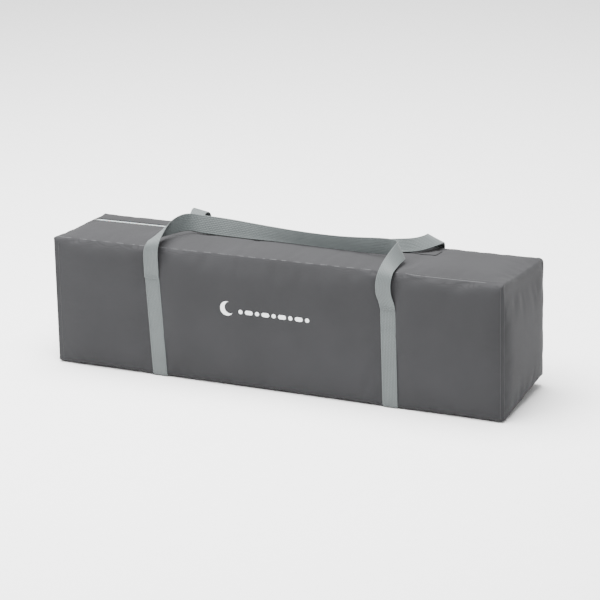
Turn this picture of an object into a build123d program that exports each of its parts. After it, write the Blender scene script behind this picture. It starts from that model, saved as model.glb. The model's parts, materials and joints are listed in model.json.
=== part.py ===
from build123d import *
import os

# A folding travel playpen, folded and packed in its zipped carry bag.
# Millimetres. +X runs to the right along the bag, +Y to its back and +Z up.
# The origin is the middle of the underside. Each piece is written to its own STEP file.

# ---------------------------------------------------------------- driving dimensions

# Carry bag: a long box of soft cloth, a little lower at its left end and along its back
LENGTH = 760.0
DEPTH = 180.0
HEIGHT = 220.0             # at the right end of the front edge
FALL_LEFT = 10.5           # how much lower the top is at the left end
FALL_BACK = 11.0           # how much lower the top is along the back
CLOTH = 2.0                # padded bag cloth
END_RADIUS = 10.0          # round edge where the top strip runs down over the right end
TUCK_RISE = 22.0           # the right back bottom corner is tucked up by this much
TUCK_RUN = 20.0            # and the tuck starts this far in from the end
CROSS_SEAM_X = 225.0       # the zipped top strip ends here, in a seam to the plain strip

# Zip along the top
ZIP_Y = 40.0
ZIP_GAP = 14.0             # width of the slot that shows the zip
TAPE_WIDTH = 11.5          # each half, from its coil outwards
TAPE_THICK = 0.8
COIL_WIDTH = 3.0
COIL_HEIGHT = 1.8
LIP_CLEARANCE = 0.3        # gap to the cloth that the tapes slide under
SLIDER_X = 138.0           # the slider's place when the zip is closed
ZIP_END_X = 168.0          # the cloth tab over the closed end starts here
SLIDER_LENGTH = 16.0
SLIDER_WIDTH = 11.0
PLATE_THICK = 2.6
BRIDGE_OPENING = 2.6       # height under the bridge, where the pull's eye turns
PULL_LENGTH = 30.0
PULL_THICK = 1.4

# Webbing of the straps and carry handles
WEB_WIDTH = 25.0
WEB_THICK = 1.4
STRAP_TOP = 167.0          # height of the stitching where the handles leave the bag
STRAP_FEET = (-196.0, 196.5)    # middle of the left and the right strap under the bag
STRAP_HEADS = (-204.5, 194.5)   # and at their stitched upper ends
RIGHT_STRAP_LOWER = 3.0    # the right strap is stitched this much lower
HANDLE_GAP = 1.6           # free edge between the stitching and the handle's own body

# Folding mattress, wrapped round the folded frame
BOARD_LENGTH = 640.0
BOARD_THICK = 18.0
WRAP_DEPTH = 168.0
WRAP_LOW = 5.0
WRAP_HIGH = 184.0

# Folded frame inside the mattress
LEG_Y = 52.0               # the four legs lie at plus and minus this
LEG_Z = (38.0, 150.0)      # the lower and the upper pair
LEG_RADIUS = 11.0
LEG_ENDS = {"front": 300.0, "back": 318.0}
RAIL_RADIUS = 8.0
TUBE_WALL = 1.2
BRACKET_X = (-372.0, -318.0)
LONG_RAIL_STEP = 30.0      # a long rail half lies this far from its leg
SHORT_RAIL_Y = 24.0
LONG_RAIL_END = 220.0
SHORT_RAIL_END = 0.0
LATCH_BEFORE = 40.0        # a middle latch takes in this much of the rails
LATCH_PAST = 25.0          # and reaches this far past their ends
LATCH_HALF = 12.0          # from a rail's middle to the latch's outside
BUTTON_HALF = 7.0
RIVET_RADIUS = 3.0
RUNNING_CLEARANCE = 0.05
TUBE_CLEARANCE = 0.1
HUB_X = (-300.0, -276.0)
HUB_RADIUS = 46.0
BASE_TUBE_Y = 20.0
BASE_TUBE_Z = 16.0         # above and below the middle of the pack
BASE_TUBE_END = 299.0
FOOT_X = (290.0, 352.0)
FOOT_RADIUS = 13.5
FORK_X = (282.0, 319.0)    # the fork's round socket on the leg
FORK_EARS_START = 312.0
FORK_EAR_Y = (8.2, 12.2)   # each ear, from the middle of the wheel
WHEEL_X = 346.0
WHEEL_RADIUS = 25.0
WHEEL_WIDTH = 14.0
BUTTON_TRAVEL = 3.0

PACK_Z = (LEG_Z[0] + LEG_Z[1]) / 2

os.makedirs("parts", exist_ok=True)


def save(name, shape):
    """Write one named piece."""
    export_step(shape, f"parts/{name}.step")


def span(x, y, z):
    """A box given by its (low, high) along each axis."""
    size = [high - low for low, high in (x, y, z)]
    middle = [(high + low) / 2 for low, high in (x, y, z)]
    return Pos(*middle) * Box(*size)


def rod(start, end, radius):
    """A round bar between two points."""
    line = Edge.make_line(start, end)
    return extrude(Plane(origin=start, z_dir=line % 0) * Circle(radius), line.length)


def tube(start, end, radius, wall=TUBE_WALL):
    """A round tube between two points."""
    return rod(start, end, radius) - rod(start, end, radius - wall)


# ---------------------------------------------------------------- carry bag cloth


def top_height(x, y):
    """Height of the bag's flat top above a point of the floor."""
    to_left = (LENGTH / 2 - x) / LENGTH
    to_back = (y + DEPTH / 2) / DEPTH
    return HEIGHT - FALL_LEFT * to_left - FALL_BACK * to_back


def tuck_plane(inset):
    """The slanting face of the tucked-up corner, moved inwards by inset."""
    front_point = Vector(LENGTH / 2, -DEPTH / 2, 0)
    high_point = Vector(LENGTH / 2, DEPTH / 2, TUCK_RISE)
    low_point = Vector(LENGTH / 2 - TUCK_RUN, DEPTH / 2, 0)
    inward = (high_point - front_point).cross(low_point - front_point).normalized()
    return Plane(origin=front_point + inward * inset, z_dir=inward)


def bag_block(inset):
    """The whole bag as a solid block, with every face moved inwards by inset."""
    front, back = -DEPTH / 2 + inset, DEPTH / 2 - inset
    ends = []
    for x in (-LENGTH / 2 + inset, LENGTH / 2 - inset):
        corners = [(front, inset), (back, inset)]
        corners += [(y, top_height(x, y) - inset) for y in (back, front)]
        ends.append(Plane.YZ.offset(x) * make_face(Polyline(*corners, close=True)))
    block = loft(ends, ruled=True)
    top_edge = block.faces().sort_by(Axis.X)[-1].edges().sort_by(Axis.Z)[-1]
    block = fillet(top_edge, END_RADIUS - inset)
    return split(block, bisect_by=tuck_plane(inset), keep=Keep.TOP)


def layer(outer, inner):
    """A skin of the bag's form between two insets."""
    return bag_block(outer) - bag_block(inner)


HALF_LENGTH, HALF_DEPTH = LENGTH / 2, DEPTH / 2
ALL_X, ALL_Z = (-LENGTH, LENGTH), (-10.0, HEIGHT + 20)
INSIDE_Y = (-HALF_DEPTH + CLOTH, HALF_DEPTH - CLOTH)
LEFT_INSIDE = -HALF_LENGTH + CLOTH
TOP_X = (LEFT_INSIDE, CROSS_SEAM_X)
ABOVE = (HEIGHT / 2, HEIGHT + 20)
ZIP_FRONT, ZIP_BACK = ZIP_Y - ZIP_GAP / 2, ZIP_Y + ZIP_GAP / 2


def strap(foot_x, head_x, head_z):
    """One webbing strap: up the front, under the bag and up the back."""
    half = WEB_WIDTH / 2
    low_left, low_right = (foot_x - half, 0), (foot_x + half, 0)
    outline = Polyline(low_left, low_right, (head_x + half, head_z), (head_x - half, head_z), close=True)
    front_leg = extrude(Plane.XZ.offset(HALF_DEPTH) * make_face(outline), WEB_THICK)
    outer_y = HALF_DEPTH + WEB_THICK
    under = span((foot_x - half, foot_x + half), (-outer_y, outer_y), (0, WEB_THICK))
    return front_leg + under + mirror(front_leg, Plane.XZ)


STRAP_LEFT = strap(STRAP_FEET[0], STRAP_HEADS[0], STRAP_TOP)
STRAP_RIGHT = strap(STRAP_FEET[1], STRAP_HEADS[1], STRAP_TOP - RIGHT_STRAP_LOWER)

cloth = layer(0, CLOTH)
front_panel = cloth & span(ALL_X, (-HALF_DEPTH, INSIDE_Y[0]), ALL_Z)
back_panel = cloth & span(ALL_X, (INSIDE_Y[1], HALF_DEPTH), ALL_Z)
straps = STRAP_LEFT + STRAP_RIGHT
save("front_panel", front_panel - straps)
save("back_panel", back_panel - straps)
save("bottom_gusset", (cloth & span((LEFT_INSIDE, LENGTH), INSIDE_Y, (0, CLOTH))) - straps)
save("left_end_gusset", cloth & span((-HALF_LENGTH, LEFT_INSIDE), INSIDE_Y, ALL_Z))
save("right_gusset", cloth & span((CROSS_SEAM_X, LENGTH), INSIDE_Y, (CLOTH, HEIGHT)))
save("top_front_gusset", cloth & span(TOP_X, (INSIDE_Y[0], ZIP_FRONT), ABOVE))
save("top_back_gusset", cloth & span(TOP_X, (ZIP_BACK, INSIDE_Y[1]), ABOVE))
save("strap_left", STRAP_LEFT)
save("strap_right", STRAP_RIGHT)

# Bias tape sewn over the raw seams, just inside the front and the back panel
BINDING_WIDTH, BINDING_THICK = 8.0, 1.0
binding = layer(CLOTH, CLOTH + BINDING_THICK)
save("front_seam_binding", binding & span(ALL_X, (INSIDE_Y[0], INSIDE_Y[0] + BINDING_WIDTH), ALL_Z))
save("back_seam_binding", binding & span(ALL_X, (INSIDE_Y[1] - BINDING_WIDTH, INSIDE_Y[1]), ALL_Z))

# ---------------------------------------------------------------- zip

COIL_TOP = CLOTH + LIP_CLEARANCE
COIL_FOOT = COIL_TOP + COIL_HEIGHT
coil_layer = layer(COIL_TOP, COIL_FOOT)
tape_layer = layer(COIL_FOOT, COIL_FOOT + TAPE_THICK)
TAPE_X = (LEFT_INSIDE + 4, CROSS_SEAM_X - 1)
for side, toward in (("front", -1), ("back", 1)):
    inner = ZIP_Y + toward * 0.3
    coil_y = sorted((inner, inner + toward * COIL_WIDTH))
    tape_y = sorted((inner, inner + toward * TAPE_WIDTH))
    save(f"zip_coil_{side}", coil_layer & span((TAPE_X[0], ZIP_END_X + 4), coil_y, ABOVE))
    save(f"zip_tape_{side}", tape_layer & span(TAPE_X, tape_y, ABOVE))

# A cloth tab is sewn over the zip's closed end, and a metal stop ends it at the left
TAB_HALF = 15.0
TAB_Y = (ZIP_Y - TAB_HALF, ZIP_Y + TAB_HALF)
save("zip_end_tab", layer(-1.0, 0) & span((ZIP_END_X, CROSS_SEAM_X), TAB_Y, ABOVE))
STOP_X = (-HALF_LENGTH + 6, -HALF_LENGTH + 11)
save("zip_bottom_stop", layer(0.3, CLOTH) & span(STOP_X, (ZIP_Y - 3.5, ZIP_Y + 3.5), ABOVE))


def slider():
    """Zip slider: a tapered plate with a rounded bridge that holds the pull."""
    half, wide = SLIDER_LENGTH / 2, SLIDER_WIDTH / 2
    upper_side = [(-half, wide - 1.5), (2, wide), (half, wide)]
    lower_side = [(x, -y) for x, y in reversed(upper_side)]
    plate = extrude(make_face(Polyline(*upper_side, *lower_side, close=True)), PLATE_THICK)
    plate = chamfer(plate.faces().sort_by(Axis.Z)[-1].edges(), 0.6)
    bridge = Pos(0, 0, PLATE_THICK) * span((-5, 5), (-1.6, 1.6), (0, BRIDGE_OPENING + 1.4))
    bridge = chamfer(bridge.edges().filter_by(Axis.Y).group_by(Axis.Z)[-1], 1.3)
    opening = Pos(0, 0, PLATE_THICK) * span((-3.2, 3.2), (-3, 3), (0, BRIDGE_OPENING))
    return plate + (bridge - opening)


def zip_pull():
    """Flat pull tab with a round eye, lying on the cloth towards +X."""
    tab = Pos(PULL_LENGTH / 2 - 1, 0, 0) * SlotOverall(PULL_LENGTH, 9.2)
    eye = Pos(4.2, 0, 0) * SlotOverall(7.4, 4.6)
    thumb_hole = Pos(PULL_LENGTH - 8, 0, 0) * SlotOverall(8, 3.6)
    return extrude(Pos(0, 0, -PULL_THICK / 2) * (tab - eye - thumb_hole), PULL_THICK)


SLIDER_BASE = top_height(SLIDER_X, ZIP_Y) - CLOTH
PULL_PIVOT_Z = SLIDER_BASE + PLATE_THICK + BRIDGE_OPENING / 2
save("zip_slider", Pos(SLIDER_X, ZIP_Y, SLIDER_BASE) * slider())
save("zip_pull", Pos(SLIDER_X, ZIP_Y, PULL_PIVOT_Z) * zip_pull())

# ---------------------------------------------------------------- carry handles


def ribbon(sections, thick):
    """A band of webbing as a closed shell; each section is its two edge points."""
    count = len(sections)
    left = [Vector(*pair[0]) for pair in sections]
    right = [Vector(*pair[1]) for pair in sections]
    rings = []
    for i in range(count):
        before, after = max(i - 1, 0), min(i + 1, count - 1)
        along = left[after] + right[after] - left[before] - right[before]
        normal = along.cross(right[i] - left[i]).normalized() * (thick / 2)
        rings.append([left[i] + normal, right[i] + normal, right[i] - normal, left[i] - normal])
    faces = [flat(*rings[0]), flat(*rings[-1])]
    for ring, following in zip(rings, rings[1:]):
        for j in range(4):
            k = (j + 1) % 4
            faces.append(flat(ring[j], ring[k], following[k]))
            faces.append(flat(ring[j], following[k], following[j]))
    return Solid(Shell(faces))


def flat(*corners):
    """A flat face with straight edges."""
    return Face(Wire.make_polygon(corners, close=True))


HANDLE_FOOT = STRAP_TOP + HANDLE_GAP
RIGHT_FOOT = HANDLE_FOOT - RIGHT_STRAP_LOWER
SEWN_Y = HALF_DEPTH + WEB_THICK / 2

# Edge points of the front handle from its left end to its right end. It rises past the
# front edge, turns to stand on edge, runs right above the top and folds back down.
FRONT_HANDLE = [
    ((-192, -SEWN_Y, HANDLE_FOOT), (-217, -SEWN_Y, HANDLE_FOOT)),
    ((-190.5, -96, 192), (-216, -96, 192)),
    ((-188, -101, 212), (-213, -101, 209)),
    ((-186, -99, 223), (-210, -99, 217)),
    ((-186, -90, 231), (-209, -94, 221)),
    ((-189, -72, 235.5), (-208, -89, 222.5)),
    ((-193, -55, 237.5), (-207, -85, 222.5)),
    ((-196, -41, 238), (-205.5, -76, 221)),
    ((-195.5, -34, 240), (-203, -64, 219.5)),
    ((-194.5, -27, 241.5), (-200, -50, 218.5)),
    ((-192, -17, 243), (-195, -33, 217.5)),
    ((-188, -8, 244), (-190, -18, 217)),
    ((-180, -1, 244.5), (-180, -4, 217)),
    ((-165, 0, 244.5), (-165, 0, 217)),
    ((-147, 0, 244.5), (-147, 0, 217.5)),
    ((-110, 0, 243.5), (-110, 0, 216.5)),
    ((-73, -2, 240.5), (-73, -1, 213)),
    ((-30, -6, 239), (-30, -2, 212.5)),
    ((10, -10, 238.5), (10, -4, 212.5)),
    ((50, -13, 239), (50, -6, 213.5)),
    ((85, -15, 240), (85, -8, 214.5)),
    ((125, -18, 243.5), (125, -14, 217.5)),
    ((150, -21, 246.5), (149, -19, 220)),
    ((169, -25, 248.5), (170, -24, 222)),
    ((182, -30, 249.5), (188, -30, 223.5)),
    ((190, -37, 250), (204, -39, 225)),
    ((190, -47, 248), (205, -50, 224.5)),
    ((188, -60, 243.5), (203.5, -64, 223)),
    ((186, -74, 237), (204, -78, 220.5)),
    ((183.5, -88, 228), (205, -91.5, 220)),
    ((181, -98, 217), (204.5, -99, 212)),
    ((178, -100.5, 201), (203, -100.5, 200)),
    ((177, -97, 183), (202.5, -97, 183)),
    ((182, -SEWN_Y, RIGHT_FOOT), (207, -SEWN_Y, RIGHT_FOOT)),
]

# The back handle arches over the back edge, lies leaning in the middle and arches back
BACK_HANDLE = [
    ((-192, SEWN_Y, HANDLE_FOOT), (-217, SEWN_Y, HANDLE_FOOT)),
    ((-191.5, 96, 193), (-217.5, 96, 193)),
    ((-191, 97.5, 210), (-217, 98, 212)),
    ((-190.5, 89, 219), (-216.5, 91, 222.5)),
    ((-190, 76, 222), (-216, 78, 226)),
    ((-186, 62, 222), (-211, 60, 222)),
    ((-181, 47, 221), (-205, 42, 216)),
    ((-174, 36, 220.5), (-194, 24, 212.5)),
    ((-160, 30, 220), (-172, 9, 210.5)),
    ((-135, 28, 219.5), (-140, 4.5, 210)),
    ((-73, 28, 219.5), (-73, 4, 210.5)),
    ((0, 28, 220), (0, 4, 211)),
    ((85, 28, 221), (85, 4.5, 211.5)),
    ((125, 29, 225), (125, 9, 211)),
    ((150, 29, 230), (151, 15, 211)),
    ((170, 29, 232.5), (178, 22, 211.5)),
    ((184, 38, 232), (198, 32, 214)),
    ((192, 48, 232.5), (211, 46, 217)),
    ((196, 58, 232.5), (218, 64, 217.5)),
    ((194, 71, 231), (217, 78, 215.5)),
    ((191, 84, 224.5), (215, 88, 214)),
    ((189, 95, 212), (213.5, 96, 207.5)),
    ((187, 97, 193), (212, 97, 192)),
    ((182, SEWN_Y, RIGHT_FOOT), (207, SEWN_Y, RIGHT_FOOT)),
]

save("front_handle", ribbon(FRONT_HANDLE, WEB_THICK))
save("back_handle", ribbon(BACK_HANDLE, WEB_THICK))

# ---------------------------------------------------------------- folding mattress

HALF_BOARD, HALF_WRAP = BOARD_LENGTH / 2, WRAP_DEPTH / 2
BOARD_X = (-HALF_BOARD, HALF_BOARD)
SIDE_Z = (WRAP_LOW + BOARD_THICK + 0.5, WRAP_HIGH - BOARD_THICK - 0.5)


def board(y, z):
    """One mattress panel: a padded board with soft long edges."""
    panel = span(BOARD_X, y, z)
    return fillet(panel.edges().filter_by(Axis.X), 4.0)


save("mattress_bottom_board", board((-HALF_WRAP, HALF_WRAP), (WRAP_LOW, WRAP_LOW + BOARD_THICK)))
save("mattress_top_board", board((-HALF_WRAP, HALF_WRAP), (WRAP_HIGH - BOARD_THICK, WRAP_HIGH)))
save("mattress_front_board", board((-HALF_WRAP, BOARD_THICK - HALF_WRAP), SIDE_Z))
save("mattress_back_board", board((HALF_WRAP - BOARD_THICK, HALF_WRAP), SIDE_Z))

# Cloth hinges between neighbouring boards, on the outside of three corners
HINGE_THICK, HINGE_REACH = 0.8, 11.0
hinges = []
for y_side, corner_z in ((-1, SIDE_Z[0]), (-1, SIDE_Z[1]), (1, SIDE_Z[1])):
    hinge_y = sorted((y_side * HALF_WRAP, y_side * (HALF_WRAP + HINGE_THICK)))
    hinge_z = (corner_z - HINGE_REACH, corner_z + HINGE_REACH)
    hinges.append(span((2 - HALF_BOARD, HALF_BOARD - 2), hinge_y, hinge_z))
save("mattress_hinges", Compound(children=hinges))

# Two hook-and-loop straps hold the mattress closed round the frame
STRAP_CLEAR, STRAP_THICK, STRAP_WIDTH = 1.2, 1.2, 38.0
for side, middle in (("left", -170.0), ("right", 170.0)):
    ring_x = (middle - STRAP_WIDTH / 2, middle + STRAP_WIDTH / 2)
    inner_y, outer_y = HALF_WRAP + STRAP_CLEAR, HALF_WRAP + STRAP_CLEAR + STRAP_THICK
    hoop = span(ring_x, (-outer_y, outer_y), (WRAP_LOW - 0.5 - STRAP_THICK, WRAP_HIGH + 0.5 + STRAP_THICK))
    hoop -= span(ring_x, (-inner_y, inner_y), (WRAP_LOW - 0.5, WRAP_HIGH + 0.5))
    save(f"wrap_strap_{side}", hoop)

# ---------------------------------------------------------------- folded frame

FRAME_CORNERS = [
    (f"{level}_{side}", y_sign, z_sign)
    for level, z_sign in (("lower", -1), ("upper", 1))
    for side, y_sign in (("front", -1), ("back", 1))
]
LEG_START = BRACKET_X[0] + 20
RAIL_START = BRACKET_X[1] + 2
PIVOT_X = BRACKET_X[1] - 14
TONGUE_START = PIVOT_X - 9
rivets = []


def leg_place(y_sign, z_sign):
    """Where one leg lies: its y and z."""
    return y_sign * LEG_Y, PACK_Z + z_sign * (LEG_Z[1] - LEG_Z[0]) / 2


def rail_half(y, z, end_x, pivot_axis):
    """Half a top rail with the flat tongue that turns in the corner bracket."""
    thin, tall = 3.0, 6.5
    half_y, half_z = (thin, tall) if pivot_axis == "Y" else (tall, thin)
    tongue = span((TONGUE_START, RAIL_START + 1), (y - half_y, y + half_y), (z - half_z, z + half_z))
    plug = rod((RAIL_START, y, z), (RAIL_START + 12, y, z), RAIL_RADIUS)
    hollow = tube((RAIL_START + 12, y, z), (end_x, y, z), RAIL_RADIUS)
    hole = rivet(y, z, pivot_axis, RIVET_RADIUS + RUNNING_CLEARANCE)
    return tongue + plug + hollow - hole


def rivet(y, z, pivot_axis, radius):
    """The pin that a rail half turns on."""
    reach = 15.0
    turn = (0, reach, 0) if pivot_axis == "Y" else (0, 0, reach)
    start = Vector(PIVOT_X, y, z) - Vector(*turn)
    return rod(start, Vector(PIVOT_X, y, z) + Vector(*turn), radius)


long_rails = {"front": [], "back": []}
short_rails = {"lower": [], "upper": []}
for name, y_sign, z_sign in FRAME_CORNERS:
    level, side = name.split("_")
    y, z = leg_place(y_sign, z_sign)
    long_z = z - z_sign * LONG_RAIL_STEP
    short_y = y_sign * SHORT_RAIL_Y
    save(f"leg_{name}", tube((LEG_START, y, z), (LEG_ENDS[side], y, z), LEG_RADIUS))

    # Moulded bracket: a socket for the leg and a slotted ear for each rail half
    reach_y = sorted((y + y_sign * 14, short_y - y_sign * 10))
    reach_z = sorted((z + z_sign * 14, long_z - z_sign * 10))
    bracket = span(BRACKET_X, reach_y, (z - 14, z + 14)) + span(BRACKET_X, (y - 14, y + 14), reach_z)
    bracket = fillet(bracket.faces().sort_by(Axis.X)[0].edges(), 3.0)
    bracket -= rod((LEG_START, y, z), (BRACKET_X[1] + 1, y, z), LEG_RADIUS + TUBE_CLEARANCE)
    slot_x = (TONGUE_START - 3, BRACKET_X[1] + 1)
    bracket -= span(slot_x, (y - 3.5, y + 3.5), sorted((long_z - z_sign * 11, long_z + z_sign * 9)))
    bracket -= span(slot_x, sorted((short_y - y_sign * 11, short_y + y_sign * 9)), (z - 3.5, z + 3.5))
    for rail_y, rail_z, pivot_axis in ((y, long_z, "Y"), (short_y, z, "Z")):
        bracket -= rivet(rail_y, rail_z, pivot_axis, RIVET_RADIUS + RUNNING_CLEARANCE)
        rivets.append(rivet(rail_y, rail_z, pivot_axis, RIVET_RADIUS))
    save(f"corner_bracket_{name}", bracket)

    long_rails[side].append(rail_half(y, long_z, LONG_RAIL_END, "Y"))
    short_rails[level].append(rail_half(short_y, z, SHORT_RAIL_END, "Z"))

for side, halves in long_rails.items():
    save(f"long_rail_{side}", Compound(children=halves))
for level, halves in short_rails.items():
    save(f"short_rail_{level}", Compound(children=halves))
save("corner_rivets", Compound(children=rivets))


def latch(name, x, y, z, bores):
    """A rail's middle latch and its button; bores are where the two halves enter."""
    housing = fillet(span(x, y, z).edges().filter_by(Axis.X), 4.0)
    for bore_y, bore_z in bores:
        deep = (x[0] + LATCH_BEFORE + 0.5, bore_y, bore_z)
        housing -= rod((x[0] - 1, bore_y, bore_z), deep, RAIL_RADIUS + TUBE_CLEARANCE)
    middle_y, middle_z = sum(y) / 2, sum(z) / 2
    pocket_half = BUTTON_HALF + 0.4
    pocket = Pos(x[1] - 4.5, middle_y, middle_z) * Box(11, 2 * pocket_half, 2 * pocket_half)
    button = Pos(x[1] - 1.25, middle_y, middle_z) * Box(10.5, 2 * BUTTON_HALF, 2 * BUTTON_HALF)
    button = fillet(button.faces().sort_by(Axis.X)[-1].edges(), 1.5)
    save(f"rail_latch_{name}", housing - pocket)
    save(f"latch_button_{name}", button)


for side, y_sign in (("front", -1), ("back", 1)):
    y = y_sign * LEG_Y
    rails_z = [LEG_Z[0] + LONG_RAIL_STEP, LEG_Z[1] - LONG_RAIL_STEP]
    housing_x = (LONG_RAIL_END - LATCH_BEFORE, LONG_RAIL_END + LATCH_PAST)
    housing_y = (y - LATCH_HALF, y + LATCH_HALF)
    housing_z = (rails_z[0] - LATCH_HALF, rails_z[1] + LATCH_HALF)
    latch(side, housing_x, housing_y, housing_z, [(y, z) for z in rails_z])
for level, z in (("lower", LEG_Z[0]), ("upper", LEG_Z[1])):
    bores = [(-SHORT_RAIL_Y, z), (SHORT_RAIL_Y, z)]
    housing_x = (SHORT_RAIL_END - LATCH_BEFORE, SHORT_RAIL_END + LATCH_PAST)
    housing_y = (-SHORT_RAIL_Y - LATCH_HALF, SHORT_RAIL_Y + LATCH_HALF)
    latch(level, housing_x, housing_y, (z - LATCH_HALF, z + LATCH_HALF), bores)

# Floor hub and the four base tubes that run from it to the feet
hub = rod((HUB_X[0], 0, PACK_Z), (HUB_X[1], 0, PACK_Z), HUB_RADIUS)
hub = chamfer(hub.edges(), 3.0)
hub -= rod((HUB_X[0] - 1, 0, PACK_Z), (HUB_X[1] + 1, 0, PACK_Z), 7.0)
save("floor_hub", hub)
BASE_ENDS = [(y_sign * BASE_TUBE_Y, PACK_Z + z_sign * BASE_TUBE_Z) for _, y_sign, z_sign in FRAME_CORNERS]
base_tubes = [tube((HUB_X[1], y, z), (BASE_TUBE_END, y, z), RAIL_RADIUS) for y, z in BASE_ENDS]
save("base_tubes", Compound(children=base_tubes))


def base_arm(y_sign, z_sign):
    """The link from a foot to the end of its base tube."""
    y, z = leg_place(y_sign, z_sign)
    link_x = BASE_TUBE_END + 7
    return rod((link_x, y, z), (link_x, y_sign * BASE_TUBE_Y, PACK_Z + z_sign * BASE_TUBE_Z), 6.5)


# Plain feet on the two back legs, wheels in forks on the two front ones
axles = []
for name, y_sign, z_sign in FRAME_CORNERS:
    level, side = name.split("_")
    y, z = leg_place(y_sign, z_sign)
    if side == "back":
        foot = rod((FOOT_X[0], y, z), (FOOT_X[1], y, z), FOOT_RADIUS)
        foot = fillet(foot.edges().sort_by(Axis.X)[-1], 5.0) + base_arm(y_sign, z_sign)
        socket = rod((FOOT_X[0] - 1, y, z), (LEG_ENDS["back"] + 0.5, y, z), LEG_RADIUS + TUBE_CLEARANCE)
        save(f"foot_{level}", foot - socket)
        continue
    fork = rod((FORK_X[0], y, z), (FORK_X[1], y, z), FOOT_RADIUS) + base_arm(y_sign, z_sign)
    for ear in (-1, 1):
        ear_y = sorted(y + ear * edge for edge in FORK_EAR_Y)
        fork += span((FORK_EARS_START, WHEEL_X), ear_y, (z - 10, z + 10))
        fork += rod((WHEEL_X, ear_y[0], z), (WHEEL_X, ear_y[1], z), 10.0)
    fork -= rod((WHEEL_X, y - 13, z), (WHEEL_X, y + 13, z), RIVET_RADIUS + RUNNING_CLEARANCE)
    socket_end = LEG_ENDS["front"] + 0.5
    fork -= rod((FORK_X[0] - 1, y, z), (socket_end, y, z), LEG_RADIUS + TUBE_CLEARANCE)
    save(f"wheel_fork_{level}", fork)
    wheel = rod((WHEEL_X, y - WHEEL_WIDTH / 2, z), (WHEEL_X, y + WHEEL_WIDTH / 2, z), WHEEL_RADIUS)
    wheel = fillet(wheel.edges(), 3.0)
    wheel -= rod((WHEEL_X, y - 8, z), (WHEEL_X, y + 8, z), RIVET_RADIUS + RUNNING_CLEARANCE)
    save(f"wheel_{level}", wheel)
    axles.append(rod((WHEEL_X, y - 14, z), (WHEEL_X, y + 14, z), RIVET_RADIUS))
save("wheel_axles", Compound(children=axles))

# Mesh walls and padded top bumper, gathered between the base tubes
walls = span((-230, 270), (-9, 9), (PACK_Z - 40, PACK_Z + 40))
save("wall_fabric", fillet(walls.edges().filter_by(Axis.X), 6.0))
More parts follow.
